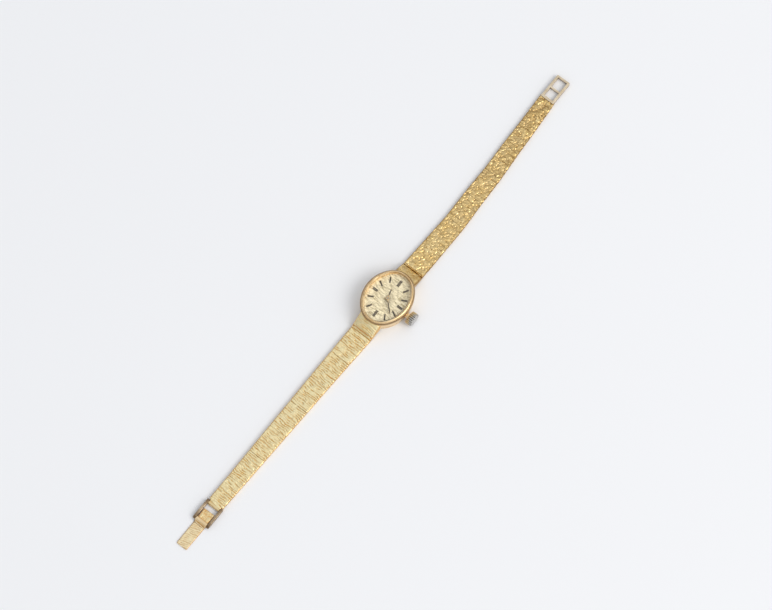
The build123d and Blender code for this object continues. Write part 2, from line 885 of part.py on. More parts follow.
def make_balance():
    """The balance wheel, its hairspring and the pallet fork that drives it."""
    inner = balance_radius - balance_rim
    with BuildPart() as balance_wheel:
        with BuildSketch(Plane.XY.offset(balance_z)):
            with Locations(Location(balance_place, balance_angle)):
                RegularPolygon(balance_radius, rim_sides)
                hole(inner, rim_sides)
                Rectangle(inner * 2 + balance_rim, balance_bar)
        extrude(amount=balance_thickness)
        pillar(balance_place, arbor_radius, hairspring_z, plate_z - running_gap)
        pillar(balance_place, pivot_radius, cock_z + running_gap, plate_z + jewel_height / 2)
        pillar(balance_place, roller_radius, escape_z - wheel_thickness - running_gap, escape_z - running_gap)
        pin_place = polar(balance_place, roller_radius - impulse_pin_radius, balance_angle + 180)
        pillar(pin_place, impulse_pin_radius, escape_z - running_gap, escape_z + wheel_thickness)
    save(balance_wheel.part, "balance_wheel")
    with BuildPart() as hairspring:
        with BuildSketch(Plane.XY.offset(hairspring_z)):
            with Locations(balance_place):
                add(
                    spiral_face(
                        hairspring_collet_radius + hairspring_strip,
                        hairspring_radius,
                        hairspring_turns,
                        hairspring_strip,
                    )
                )
                RegularPolygon(hairspring_collet_radius + hairspring_strip, turned_sides)
                hole(arbor_radius + pivot_play / 2)
        extrude(amount=hairspring_height)
    save(hairspring.part, "hairspring")
    fork_plane = Plane(
        origin=(pallet_place[0], pallet_place[1], escape_z),
        x_dir=Vector(cos(radians(balance_angle)), sin(radians(balance_angle)), 0),
    )
    with BuildPart() as pallet_fork:
        with BuildSketch(fork_plane):
            with Locations((fork_length / 2, 0)):
                Rectangle(fork_length, fork_width)
            with Locations((fork_length, 0)):
                Rectangle(fork_width, fork_horn)
            with Locations((fork_length + fork_width / 4, 0)):
                Rectangle(fork_width, fork_slot, mode=Mode.SUBTRACT)
            Rectangle(fork_width, pallet_reach * 2)
            RegularPolygon(arbor_radius, tiny_sides)
            for side in (-1, 1):
                with Locations((-pallet_length / 2, side * (pallet_reach - pallet_width / 2))):
                    Rectangle(pallet_length, pallet_width)
        extrude(amount=wheel_thickness)
        with BuildSketch(fork_plane.offset(-running_gap)):
            RegularPolygon(arbor_radius, tiny_sides)
        extrude(amount=plate_z - escape_z)
        with BuildSketch(fork_plane):
            RegularPolygon(pivot_radius, tiny_sides)
        extrude(amount=plate_z - escape_z + jewel_height / 2)
    save(pallet_fork.part, "pallet_fork")


def make_motion_works():
    """The cannon pinion, the minute wheel and the hour wheel, which turn the hands at 12 to 1."""
    cannon_module = motion_distance * 2 / (cannon_leaves + minute_teeth)
    hour_module = motion_distance * 2 / (minute_leaves + hour_teeth)
    with BuildPart() as cannon_pinion:
        with BuildSketch(Plane.XY.offset(motion_z)):
            add(gear_face(cannon_leaves, cannon_module, motion_angle))
            hole(cannon_bore)
        extrude(amount=motion_step - running_gap)
        with BuildSketch(Plane.XY.offset(motion_z)):
            RegularPolygon(cannon_radius, turned_sides)
            hole(cannon_bore)
        extrude(amount=minute_hand_z + hand_thickness - motion_z)
    save(cannon_pinion.part, "cannon_pinion")
    with BuildPart() as minute_wheel:
        with BuildSketch(Plane.XY.offset(motion_z)):
            with Locations(motion_place):
                add(spoked_gear_face(minute_teeth, cannon_module, motion_angle + 180 + 180 / minute_teeth))
                hole(minute_post_radius + pivot_play, tiny_sides)
        extrude(amount=motion_step - running_gap)
        with BuildSketch(Plane.XY.offset(motion_z)):
            with Locations(motion_place):
                add(gear_face(minute_leaves, hour_module, motion_angle + 180))
                hole(minute_post_radius + pivot_play, tiny_sides)
        extrude(amount=motion_step + wheel_thickness)
    save(minute_wheel.part, "minute_wheel")
    with BuildPart() as hour_wheel:
        with BuildSketch(Plane.XY.offset(hour_wheel_z)):
            add(spoked_gear_face(hour_teeth, hour_module, motion_angle + 180 / hour_teeth))
            RegularPolygon(hour_pipe_radius, turned_sides)
            hole(hour_pipe_bore)
        extrude(amount=wheel_thickness)
        with BuildSketch(Plane.XY.offset(hour_wheel_z)):
            RegularPolygon(hour_pipe_radius, turned_sides)
            hole(hour_pipe_bore)
        extrude(amount=hour_hand_z + hand_thickness - hour_wheel_z)
    save(hour_wheel.part, "hour_wheel")


def stem_run(start, end, radius):
    """A round length of the winding stem between two distances from the dial's centre."""
    with BuildSketch(Plane.YZ.offset(start)) as section:
        with Locations((0, stem_height)):
            RegularPolygon(radius, turned_sides)
    extrude(section.sketch, amount=end - start)


def make_winding_work():
    """The stem and what it turns: clutch, winding pinion, crown wheel, ratchet wheel and click."""
    groove_start = lever_start - stem_groove_margin
    groove_end = lever_start + lever_width + stem_groove_margin
    pinion_end = winding_pinion_start + winding_pinion_width
    with BuildPart() as winding_stem:
        stem_run(stem_inner_end, clutch_start, stem_pilot_radius)
        with BuildSketch(Plane.YZ.offset(clutch_start)):
            with Locations((0, stem_height)):
                Rectangle(stem_square, stem_square)
        extrude(amount=winding_pinion_start - clutch_start)
        stem_run(winding_pinion_start, groove_start, stem_radius)
        stem_run(groove_start, groove_end, stem_groove_radius)
        stem_run(groove_end, crown_start + crown_recess_depth + stem_screw_length, stem_radius)
    save(winding_stem.part, "winding_stem")
    with BuildPart() as clutch_wheel:
        with BuildSketch(Plane.YZ.offset(clutch_start + seat_gap)):
            with Locations((0, stem_height)):
                RegularPolygon(clutch_radius, turned_sides)
                Rectangle(stem_square + pivot_play, stem_square + pivot_play, mode=Mode.SUBTRACT)
        extrude(amount=clutch_length)
    save(clutch_wheel.part, "clutch_wheel")
    pinion_module = winding_pinion_radius / (winding_pinion_leaves / 2 + 1)
    with BuildPart() as winding_pinion:
        with BuildSketch(Plane.YZ.offset(winding_pinion_start)):
            with Locations((0, stem_height)):
                add(gear_face(winding_pinion_leaves, pinion_module, 90))
                hole(stem_radius + pivot_play)
        extrude(amount=pinion_end - winding_pinion_start)
    save(winding_pinion.part, "winding_pinion")
    with BuildPart() as setting_lever:
        with BuildSketch(Plane.XY.offset(stem_height + lever_rise - lever_thickness)):
            with Locations((lever_start + lever_width / 2, stem_groove_radius + pivot_play + lever_length / 2)):
                Rectangle(lever_width, lever_length)
        extrude(amount=lever_thickness)
    save(setting_lever.part, "setting_lever")
    to_crown_wheel = bearing(barrel_place, crown_wheel_place)
    crown_module = crown_wheel_radius * 2 / crown_wheel_teeth
    with BuildPart() as crown_wheel:
        with BuildSketch(Plane.XY.offset(ratchet_z)):
            with Locations(crown_wheel_place):
                add(gear_face(crown_wheel_teeth, crown_module, to_crown_wheel + 180))
        extrude(amount=ratchet_thickness)
        tooth_ring = crown_wheel_radius - crown_module - crown_tooth_length / 2
        with BuildSketch(Plane.XY.offset(ratchet_z + ratchet_thickness)):
            with Locations(crown_wheel_place):
                with PolarLocations(tooth_ring, contrate_teeth, start_angle=180 / contrate_teeth):
                    Rectangle(crown_tooth_length, crown_module)
        extrude(amount=crown_tooth_height)
        pillar(crown_wheel_place, arbor_radius, ratchet_z + ratchet_thickness, bridge_top)
    save(crown_wheel.part, "crown_wheel")
    ratchet_module = ratchet_radius * 2 / ratchet_teeth
    with BuildPart() as ratchet_wheel:
        with BuildSketch(Plane.XY.offset(ratchet_z)):
            with Locations(barrel_place):
                add(gear_face(ratchet_teeth, ratchet_module, to_crown_wheel + 180 / ratchet_teeth))
                Rectangle(arbor_square + pivot_play, arbor_square + pivot_play, mode=Mode.SUBTRACT)
        extrude(amount=ratchet_thickness)
    save(ratchet_wheel.part, "ratchet_wheel")
    click_reach = ratchet_radius - ratchet_module / 2
    click_tip = polar(barrel_place, click_reach, click_angle)
    click_pivot = polar(click_tip, click_length, click_angle + click_lean)
    click_plane = Plane(
        origin=(click_pivot[0], click_pivot[1], ratchet_z),
        x_dir=Vector(click_tip[0] - click_pivot[0], click_tip[1] - click_pivot[1], 0),
    )
    with BuildPart() as click:
        with BuildSketch(click_plane):
            with BuildLine():
                Polyline(
                    (0, -click_width / 2),
                    (click_length, 0),
                    (0, click_width / 2),
                    close=True,
                )
            make_face()
            RegularPolygon(click_width / 2 + seat_gap, tiny_sides)
        extrude(amount=click_thickness)
        with BuildSketch(click_plane.offset(click_thickness)):
            RegularPolygon(arbor_radius, tiny_sides)
        extrude(amount=bridge_z - ratchet_z - click_thickness)
    save(click.part, "click")


def fluted_face():
    """The crown's outline: flats between V-shaped flutes."""
    points = []
    step = 360 / crown_flutes
    flat = degrees(flute_width / crown_radius)
    for number in range(crown_flutes):
        start = step * number
        points.append(polar((0, 0), crown_radius, start))
        points.append(polar((0, 0), crown_radius, start + step - flat))
        points.append(polar((0, 0), crown_radius - flute_depth, start + step - flat / 2))
    with BuildSketch() as face:
        with BuildLine():
            Polyline(*points, close=True)
        make_face()
    return face.sketch


def make_crown():
    """The fluted crown and the case tube it runs on."""
    with BuildPart() as crown:
        with BuildSketch(Plane.YZ.offset(crown_start)):
            with Locations((0, stem_height)):
                add(fluted_face())
        extrude(amount=crown_length - crown_bevel)
        with BuildSketch(Plane.YZ.offset(crown_start + crown_length - crown_bevel)):
            with Locations((0, stem_height)):
                Circle(crown_radius - flute_depth)
        extrude(amount=crown_bevel, taper=crown_end_taper)
        with BuildSketch(Plane.YZ.offset(crown_start)):
            with Locations((0, stem_height)):
                RegularPolygon(crown_recess_radius, turned_sides, major_radius=False)
        extrude(amount=crown_recess_depth, mode=Mode.SUBTRACT)
        with BuildSketch(Plane.YZ.offset(crown_start)):
            with Locations((0, stem_height)):
                RegularPolygon(stem_radius + pivot_play, turned_sides, major_radius=False)
        extrude(amount=crown_recess_depth + stem_screw_length + pivot_play, mode=Mode.SUBTRACT)
    save(crown.part, "crown")
    with BuildPart() as crown_tube:
        with BuildSketch(Plane.YZ.offset(pocket_half_width + seat_gap)):
            with Locations((0, stem_height)):
                RegularPolygon(tube_radius, rim_sides)
                hole(tube_bore)
        extrude(amount=crown_start + tube_entry - pocket_half_width - seat_gap)
    save(crown_tube.part, "crown_tube")


def side_plane(side, distance):
    """The upright plane along the bracelet, its X outwards from the case, at a joint's distance."""
    return Plane(origin=(0, side * distance, 0), x_dir=(0, side, 0), z_dir=(side, 0, 0))


def nose_profile():
    """The bead, on its neck, that the next row's hollow turns on, as a sketch at (0, 0)."""
    with BuildSketch() as profile:
        with Locations((0, hinge_height)):
            RegularPolygon(nose_radius, bead_sides)
        with Locations((-nose_radius, hinge_height)):
            Rectangle(nose_radius * 2, neck_half_height * 2)
    return profile.sketch


def hollow_profile():
    """The space cleared round a bead and its neck, as a sketch at (0, 0)."""
    mouth = groove_wall_reach + overrun
    with BuildSketch() as profile:
        with Locations((0, hinge_height)):
            RegularPolygon(nose_radius + hinge_play, bead_sides, major_radius=False)
        with Locations((-mouth / 2, hinge_height)):
            Rectangle(mouth, mouth_half_height * 2)
    return profile.sketch


def row_outline(start, end, rows):
    """The side outline of several rows of mesh, ridged above and smooth below."""
    row = (end - start) / rows
    top = [(start, band_thickness - ridge_height)]
    bottom = [(start + gap_bottom - gap_top, 0)]
    for number in range(rows):
        here = start + row * number
        top.append((here + row * ridge_share, band_thickness))
        if number < rows - 1:
            top.append((here + row, band_thickness - ridge_height))
    top.append((end, band_thickness - ridge_height))
    bottom.append((end - gap_bottom + gap_top, 0))
    middle_start = (start, hinge_height)
    middle_end = (end, hinge_height)
    return [middle_start] + top + [middle_end] + bottom[::-1]


def plan_face(side, start, end, half_start, half_end, drift_start, drift_end):
    """The plan outline of a length of bracelet between two joints, seen from above."""
    reach = (half_end - half_start) / (end - start)
    slope = (drift_end - drift_start) / (end - start)
    near = start - overrun
    far = end + overrun
    with BuildSketch() as face:
        with BuildLine():
            Polyline(
                (drift_start - slope * overrun - half_start + reach * overrun, side * near),
                (drift_start - slope * overrun + half_start - reach * overrun, side * near),
                (drift_end + slope * overrun + half_end + reach * overrun, side * far),
                (drift_end + slope * overrun - half_end - reach * overrun, side * far),
                close=True,
            )
        make_face()
    return face.sketch


def band_half_width(share):
    """Half the bracelet's width at a share of its length from the case to its end."""
    return (band_width_at_case + (band_width_at_end - band_width_at_case) * share) / 2


def make_segment(side, number, length, drift, drift_shares, name):
    """One flexible length of the mesh, hollowed at its inner end and beaded at its outer end."""
    pitch = length / segments
    start = seam_distance + pitch * number
    last_lower = side < 0 and number == segments - 1
    outer = pitch - groove_wall_reach - gap_top
    with BuildPart() as segment:
        with BuildSketch(side_plane(side, start)):
            with BuildLine():
                Polyline(*row_outline(-groove_wall_reach, outer, rows_per_segment), close=True)
            make_face()
            if last_lower:
                with Locations((pitch, clasp_pin_height)):
                    RegularPolygon(end_bar_radius, rim_sides)
                with Locations((pitch - end_bar_radius, clasp_pin_height)):
                    Rectangle(end_bar_radius * 2, end_bar_neck * 2)
                with Locations((pitch, clasp_pin_height)):
                    hole(clasp_pin_radius + pivot_play)
            else:
                with Locations((pitch, 0)):
                    add(nose_profile())
            add(hollow_profile(), mode=Mode.SUBTRACT)
        extrude(amount=band_width_at_case, both=True)
        with BuildSketch(Plane.XY):
            add(
                plan_face(
                    side,
                    start,
                    start + pitch,
                    band_half_width(number / segments),
                    band_half_width((number + 1) / segments),
                    drift * drift_shares[number],
                    drift * drift_shares[number + 1],
                )
            )
        extrude(amount=band_thickness + overrun, mode=Mode.INTERSECT)
        if last_lower:
            ear_space = hypot(clasp_ear_radius, clasp_ear_radius) + clasp_ear_play
            shift = drift * drift_shares[-1]
            reach = (end_bar_width + band_width_at_case) / 2
            with BuildSketch(Plane.XY):
                with Locations((shift - reach, side * (start + pitch)), (shift + reach, side * (start + pitch))):
                    Rectangle(band_width_at_case, ear_space * 2)
            extrude(amount=band_thickness + overrun, mode=Mode.SUBTRACT)
    save(segment.part, name)


def make_end_piece(side, name):
    """A textured end piece: it falls from under the bezel to the bracelet's first joint."""
    tip = seam_distance - end_piece_tip_inset
    with BuildPart() as end_piece:
        with BuildSketch(side_plane(side, 0)):
            with BuildLine():
                Polyline(
                    (end_piece_root, end_piece_foot),
                    (tip, end_piece_tip_foot),
                    (tip, end_piece_tip_height),
                    (case_half_length, end_piece_top - ridge_height),
                    (end_piece_root, end_piece_top),
                    close=True,
                )
            make_face()
            with Locations((seam_distance, 0)):
                add(nose_profile())
        extrude(amount=end_piece_width / 2, both=True)
        with BuildSketch(Plane.XY):
            add(oval_face(case_half_width + braze_gap, case_half_length + braze_gap))
        extrude(amount=case_top, mode=Mode.SUBTRACT)
        with BuildSketch(Plane.XY):
            add(
                plan_face(
                    side,
                    case_half_length,
                    seam_distance,
                    end_piece_width / 2,
                    band_half_width(0),
                    0,
                    0,
                )
            )
            with Locations((0, side * end_piece_root)):
                Rectangle(end_piece_width, (case_half_length - end_piece_root) * 2)
        extrude(amount=case_top, mode=Mode.INTERSECT)
    save(end_piece.part, name)


def make_ladder():
    """The two-rung ladder that the clasp's tongue catches."""
    start = seam_distance + upper_band_length
    shift = upper_drift * upper_drift_shares[-1]
    bar_start = -groove_wall_reach
    with BuildPart() as ladder:
        with BuildSketch(side_plane(1, start)):
            length = ladder_bar + sum(ladder_window_lengths) + ladder_rung + ladder_end_rung
            with Locations((bar_start + length / 2, ladder_height / 2)):
                Rectangle(length, ladder_height)
            add(hollow_profile(), mode=Mode.SUBTRACT)
        extrude(amount=ladder_width / 2, both=True)
        end_edges = ladder.edges().filter_by(Axis.Z).group_by(Axis.Y)[-1]
        fillet(end_edges, radius=ladder_corner)
        window_start = start + bar_start + ladder_bar
        with BuildSketch(Plane.XY):
            for window in ladder_window_lengths:
                with Locations((0, window_start + window / 2)):
                    Rectangle(ladder_width - ladder_rail * 2, window)
                window_start += window + ladder_rung
        extrude(amount=ladder_height, mode=Mode.SUBTRACT)
    ladder.part.position += (shift, 0, 0)
    save(ladder.part, "ladder")


def make_clasp():
    """The clasp's frame, its hinge pin and the tongue that folds over the ladder."""
    start = seam_distance + lower_band_length
    shift = lower_drift * lower_drift_shares[-1]
    plane = side_plane(-1, start)
    rail_outer = clasp_width / 2
    with BuildPart() as clasp_frame:
        with BuildSketch(plane):
            with BuildLine():
                Polyline(
                    (-clasp_ear_radius, clasp_pin_height - clasp_ear_radius),
                    (clasp_bar_reach, 0),
                    (clasp_bar_reach + clasp_ear_radius, clasp_bar_height),
                    (clasp_bar_reach, clasp_height),
                    (clasp_bar_reach / 2, clasp_height + ridge_height),
                    (-clasp_ear_radius, clasp_pin_height + clasp_ear_radius),
                    close=True,
                )
            make_face()
            with Locations((0, clasp_pin_height)):
                hole(clasp_pin_radius + pivot_play)
        extrude(amount=rail_outer, both=True)
        with BuildSketch(plane):
            with Locations((clasp_bar_reach / 2, clasp_height / 2)):
                Rectangle(clasp_bar_reach * 2, clasp_height * 2 + overrun)
        extrude(amount=rail_outer - clasp_rail, both=True, mode=Mode.SUBTRACT)
        with BuildSketch(plane):
            with Locations((clasp_bar_reach, clasp_bar_height)):
                RegularPolygon(clasp_bar_radius, rim_sides)
        extrude(amount=rail_outer, both=True)
    clasp_frame.part.position += (shift, 0, 0)
    save(clasp_frame.part, "clasp_frame")
    with BuildPart() as clasp_hinge_pin:
        with BuildSketch(plane):
            with Locations((0, clasp_pin_height)):
                RegularPolygon(clasp_pin_radius, turned_sides)
        extrude(amount=rail_outer, both=True)
    clasp_hinge_pin.part.position += (shift, 0, 0)
    save(clasp_hinge_pin.part, "clasp_hinge_pin")
    make_tongue(side_plane(-1, start + clasp_bar_reach), shift)


def make_tongue(plane, shift):
    """The tongue: a knuckle curled round the frame's bar, a nose inside and a long plate outside."""
    knuckle_inner = clasp_bar_radius + tongue_play
    knuckle_outer = knuckle_inner + tongue_knuckle_wall
    plate_end = knuckle_outer + tongue_shoulder_length + tongue_plate_length
    with BuildPart() as clasp_tongue:
        with BuildSketch(plane):
            with Locations((0, clasp_bar_height)):
                RegularPolygon(knuckle_outer, rim_sides)
            with Locations((plate_end / 2, tongue_thickness / 2)):
                Rectangle(plate_end, tongue_thickness)
            with Locations((0, clasp_bar_height)):
                hole(knuckle_inner, rim_sides)
        extrude(amount=tongue_knuckle_width / 2, both=True)
        with BuildSketch(plane):
            with Locations((-knuckle_inner - tongue_nose_length / 2, clasp_bar_height)):
                Rectangle(tongue_nose_length, tongue_thickness)
        extrude(amount=tongue_nose_width / 2, both=True)
        shoulder_end = knuckle_outer + tongue_shoulder_length
        start = -plane.origin.Y
        with BuildSketch(Plane.XY):
            with BuildLine():
                Polyline(
                    (-tongue_knuckle_width / 2, -(start - knuckle_outer - tongue_nose_length)),
                    (tongue_knuckle_width / 2, -(start - knuckle_outer - tongue_nose_length)),
                    (tongue_knuckle_width / 2, -(start + knuckle_outer)),
                    (tongue_shoulder_width / 2, -(start + shoulder_end)),
                    (tongue_plate_width / 2, -(start + shoulder_end)),
                    (tongue_plate_width / 2, -(start + plate_end)),
                    (-tongue_plate_width / 2, -(start + plate_end)),
                    (-tongue_plate_width / 2, -(start + shoulder_end)),
                    (-tongue_shoulder_width / 2, -(start + shoulder_end)),
                    (-tongue_knuckle_width / 2, -(start + knuckle_outer)),
                    close=True,
                )
            make_face()
        extrude(amount=clasp_height + overrun, mode=Mode.INTERSECT)
    clasp_tongue.part.position += (shift, 0, 0)
    save(clasp_tongue.part, "clasp_tongue")


def make_bracelet():
    """Both halves of the bracelet, with their end pieces, the ladder and the clasp."""
    make_end_piece(1, "upper_end_piece")
    make_end_piece(-1, "lower_end_piece")
    for number in range(segments):
        label = str(number + 1)
        make_segment(1, number, upper_band_length, upper_drift, upper_drift_shares, "upper_mesh_" + label)
        make_segment(-1, number, lower_band_length, lower_drift, lower_drift_shares, "lower_mesh_" + label)
    make_ladder()
    make_clasp()


def main():
    """Build every piece of the watch."""
    os.makedirs("parts", exist_ok=True)
    make_case_middle()
    make_case_back()
    make_bezel()
    make_crystal()
    make_movement_ring()
    make_dial()
    make_hour_markers()
    make_hand("hour_hand", hour_hand_length, hour_hub_radius, hour_pipe_radius, hour_hand_z, hour_hand_angle)
    make_hand("minute_hand", minute_hand_length, minute_hub_radius, cannon_radius, minute_hand_z, minute_hand_angle)
    make_mainplate()
    make_bridges()
    make_bridge_screws()
    make_jewels()
    make_train()
    make_barrel()
    make_balance()
    make_motion_works()
    make_winding_work()
    make_crown()
    make_bracelet()


main()
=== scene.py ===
"""An oval dress watch on a woven mesh bracelet, dressed for its portrait.

Every piece is modelled in millimetres and brought to metres when it is settled on its CAD body.
+Z points up out of the dial, +Y to twelve o'clock and +X to three.
"""
import logging
from dataclasses import dataclass
from enum import Enum
from math import atan2, cos, degrees, hypot, pi, radians, sin, sqrt
from typing import Any, Callable, Iterable, Sequence

import bmesh
import bpy
from mathutils import Matrix, Vector, noise

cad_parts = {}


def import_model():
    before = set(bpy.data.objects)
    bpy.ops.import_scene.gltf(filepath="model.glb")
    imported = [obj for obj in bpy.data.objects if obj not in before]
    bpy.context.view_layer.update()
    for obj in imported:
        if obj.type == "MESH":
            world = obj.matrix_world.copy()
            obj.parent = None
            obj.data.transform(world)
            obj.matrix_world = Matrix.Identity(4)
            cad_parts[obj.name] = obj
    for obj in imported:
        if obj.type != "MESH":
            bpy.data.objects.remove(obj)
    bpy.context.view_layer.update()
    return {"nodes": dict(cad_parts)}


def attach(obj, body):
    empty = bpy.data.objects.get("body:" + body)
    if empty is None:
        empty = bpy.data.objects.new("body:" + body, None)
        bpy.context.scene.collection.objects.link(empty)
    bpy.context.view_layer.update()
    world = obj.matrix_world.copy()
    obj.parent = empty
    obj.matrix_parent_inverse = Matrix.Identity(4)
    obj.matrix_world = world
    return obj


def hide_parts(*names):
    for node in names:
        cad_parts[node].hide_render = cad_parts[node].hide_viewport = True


MM = 0.001
ORIGIN = (0.0, 0.0, 0.0)
# The whole of a share, the range that most noise lies in, and the narrower range at its middle.
WHOLE, MOST, MIDDLE = (0.0, 1.0), (0.3, 0.7), (0.35, 0.65)
FALLING = (1.0, 0.0)
Colour = tuple[float, float, float]
Point = tuple[float, float]
Piece = bpy.types.Object
Finish = bpy.types.Material
Socket = bpy.types.NodeSocket
Feed = dict[str | int, Any]
Finishes = dict[str, Finish]
log = logging.getLogger("watch")


def clamp(value: float, low: float = 0.0, high: float = 1.0) -> float:
    """The value, kept between two bounds."""
    return max(low, min(high, value))


def ease(value: float, low: float, high: float) -> float:
    """A smooth step from 0 at low to 1 at high."""
    share = clamp((value - low) / (high - low))
    return share * share * (3.0 - 2.0 * share)


def blend(low: float, high: float, share: float) -> float:
    """The value at a share of the way from low to high."""
    return low + (high - low) * share


def wander(across: float, along: float, scale: Point, seed: float) -> float:
    """Smooth noise from -1 to 1 at a place, its scale in features per millimetre each way."""
    return noise.noise(Vector((across * scale[0], along * scale[1], seed)))


class Weave(Enum):
    """The three looks of the bracelet's bark finish."""

    CRUMPLED = "crumpled"
    WAVY = "wavy"
    SLANTED = "slanted"


class Bench:
    """The few hand moves that every new piece is shaped with."""

    # Points nearer than these, in millimetres, become one.
    WELD = 0.0005
    CAD_WELD = 0.002
    # The limits for making squares of triangles, and for which edges are sharp.
    FLAT_ANGLE = radians(1.0)
    SQUARE_ANGLE = radians(60.0)
    SHARP_ANGLE = radians(30.0)

    @staticmethod
    def clear() -> None:
        """Deselect everything, so that an operator acts on the new piece alone."""
        if bpy.context.mode != "OBJECT":
            bpy.ops.object.mode_set(mode="OBJECT")
        bpy.ops.object.select_all(action="DESELECT")

    @staticmethod
    def take(piece: Piece) -> None:
        """Make a piece the only one selected, and the active one.

        Args:
            piece: the mesh object.
        """
        Bench.clear()
        piece.select_set(True)
        bpy.context.view_layer.objects.active = piece

    @staticmethod
    def edit(piece: Piece) -> None:
        """Open a piece in edit mode, with all of it selected.

        Args:
            piece: the mesh object.
        """
        Bench.take(piece)
        bpy.ops.object.mode_set(mode="EDIT")
        bpy.ops.mesh.select_all(action="SELECT")

    @staticmethod
    def close() -> None:
        """Leave edit mode."""
        bpy.ops.object.mode_set(mode="OBJECT")

    @staticmethod
    def pick_edges(piece: Piece, test: Callable[[bmesh.types.BMEdge], bool]) -> None:
        """Select the open piece's edges that pass a test, and nothing else.

        Args:
            piece: the mesh object, in edit mode.
            test: says whether an edge is wanted.
        """
        live = bmesh.from_edit_mesh(piece.data)
        bpy.ops.mesh.select_mode(type="EDGE")
        for part in (live.faces, live.edges, live.verts):
            for element in part:
                element.select = False
        for edge in live.edges:
            edge.select = test(edge)
        live.select_flush_mode()
        bmesh.update_edit_mesh(piece.data)

    @staticmethod
    def outward(piece: Piece) -> None:
        """Merge a piece's doubles and turn its faces outwards.

        Args:
            piece: the mesh object.
        """
        Bench.edit(piece)
        bpy.ops.mesh.remove_doubles(threshold=Bench.WELD)
        bpy.ops.mesh.normals_make_consistent(inside=False)
        Bench.close()

    @staticmethod
    def lay(piece: Piece, place: Sequence[float]) -> None:
        """Turn an upright piece to lie along X, and carry it to a place."""
        piece.data.transform(Matrix.Rotation(pi / 2, 4, "Y"))
        piece.data.transform(Matrix.Translation(place))

    @staticmethod
    def mark(piece: Piece, dark_marks: Sequence[float]) -> None:
        """Keep how far each point is darkened, for the finish to read; on the bracelet, the tongue and the
        clasp this is painted shade.
        """
        layer = piece.data.attributes.new("furrow", "FLOAT", "POINT")
        layer.data.foreach_set("value", dark_marks)

    @staticmethod
    def settle(
        piece: Piece,
        name: str,
        finish: Finish,
        body: str,
        slot: str,
        stands_for: Sequence[str] = (),
        angle: float = 40.0,
    ) -> None:
        """Bring a finished piece to metres, dress it and hand it to its body.

        Args:
            piece: the finished mesh object, at the origin.
            name: its name.
            finish: its material.
            body: the CAD body it moves with.
            slot: the record's material slot; not used.
            stands_for: the CAD nodes it replaces.
            angle: the smooth shading's limit in degrees.
        """
        piece.data.transform(Matrix.Scale(MM, 4))
        piece.name = name
        piece.data.name = name
        piece.data.materials.clear()
        piece.data.materials.append(finish)
        Bench.take(piece)
        bpy.ops.object.shade_smooth_by_angle(angle=radians(angle))
        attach(piece, body)
        if stands_for:
            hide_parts(*stands_for)
        log.info("%s on %s, %d faces", name, body, len(piece.data.polygons))

    @staticmethod
    def refined(node: Piece, width: float, segments: int = 2) -> Piece:
        """A copy of a CAD node with merged points, whole flats and softened edges.

        Args:
            node: the CAD node's object, which stays as it is.
            width: the softened edge's width in millimetres.
            segments: how many facets each softened edge has.

        Returns:
            The copy, in millimetres.
        """
        copy = node.copy()
        copy.data = node.data.copy()
        copy.parent = None
        for key in list(copy.keys()):
            del copy[key]
        copy.data.materials.clear()
        bpy.context.scene.collection.objects.link(copy)
        copy.data.transform(Matrix.Scale(1.0 / MM, 4))
        Bench.edit(copy)
        bpy.ops.mesh.customdata_custom_splitnormals_clear()
        bpy.ops.mesh.remove_doubles(threshold=Bench.CAD_WELD)
        limits = {"face_threshold": Bench.FLAT_ANGLE, "shape_threshold": Bench.SQUARE_ANGLE}
        bpy.ops.mesh.tris_convert_to_quads(**limits)
        bpy.ops.mesh.normals_make_consistent(inside=False)
        Bench.close()
        bevel = copy.modifiers.new("edge", "BEVEL")
        bevel.width = width
        bevel.segments = segments
        bevel.limit_method = "ANGLE"
        bevel.angle_limit = Bench.SHARP_ANGLE
        bevel.harden_normals = False
        bpy.ops.object.modifier_apply(modifier=bevel.name)
        return copy


@dataclass(frozen=True)
class Ring:
    """One oval level of a lofted piece: its half sizes and its height, in millimetres."""

    half_width: float
    half_length: float
    height: float


def insets(half: Point, levels: Iterable[Point]) -> list[Ring]:
    """Rings inside an oval of some half sizes, each from how far in it lies and its height."""
    return [Ring(half[0] - inset, half[1] - inset, height) for inset, height in levels]


def rounds(levels: Iterable[Point]) -> list[Ring]:
    """Round rings, each from its radius and its height."""
    return [Ring(radius, radius, height) for radius, height in levels]


@dataclass(frozen=True)
class Oval:
    """The watch's oval: four arcs that run smoothly into each other."""

    arc_share: float = 0.785

    def reach(self, half_width: float, half_length: float, turn: float) -> Point:
        """The point of an oval whose direction, on the round it is stretched from, is turn.

        Args:
            half_width: the oval's half width.
            half_length: the oval's half length.
            turn: an angle in radians.

        Returns:
            The point's place.
        """
        across = cos(turn) * half_width
        along = sin(turn) * half_length
        length = hypot(across, along)
        across, along = across / length, along / length
        if half_length - half_width < 0.02 * half_length:
            return across * half_width, along * half_length
        end_radius = half_width - (half_width - half_width**2 / half_length) * self.arc_share
        end_offset = half_length - end_radius
        side_radius = (end_offset**2 + half_width**2 - end_radius**2) / (half_width - end_radius) / 2
        side_offset = side_radius - half_width
        join_x = side_radius * side_offset / (side_radius - end_radius) - side_offset
        join_y = side_radius * end_offset / (side_radius - end_radius)
        if abs(across) * join_y > abs(along) * join_x:
            middle = -abs(across) * side_offset
            distance = middle + sqrt(middle**2 - side_offset**2 + side_radius**2)
        else:
            middle = abs(along) * end_offset
            distance = middle + sqrt(middle**2 - end_offset**2 + end_radius**2)
        return across * distance, along * distance

    def edge_at(self, half_width: float, half_length: float, across: float) -> float:
        """How far along the oval's edge is at a distance across from its long axis.

        Args:
            half_width: the oval's half width.
            half_length: the oval's half length.
            across: the distance from the long axis.

        Returns:
            The distance from the short axis.
        """
        low, high = 0.0, pi / 2
        for _ in range(40):
            middle = (low + high) / 2
            if self.reach(half_width, half_length, middle)[0] > abs(across):
                low = middle
            else:
                high = middle
        return self.reach(half_width, half_length, (low + high) / 2)[1]


OVAL = Oval()


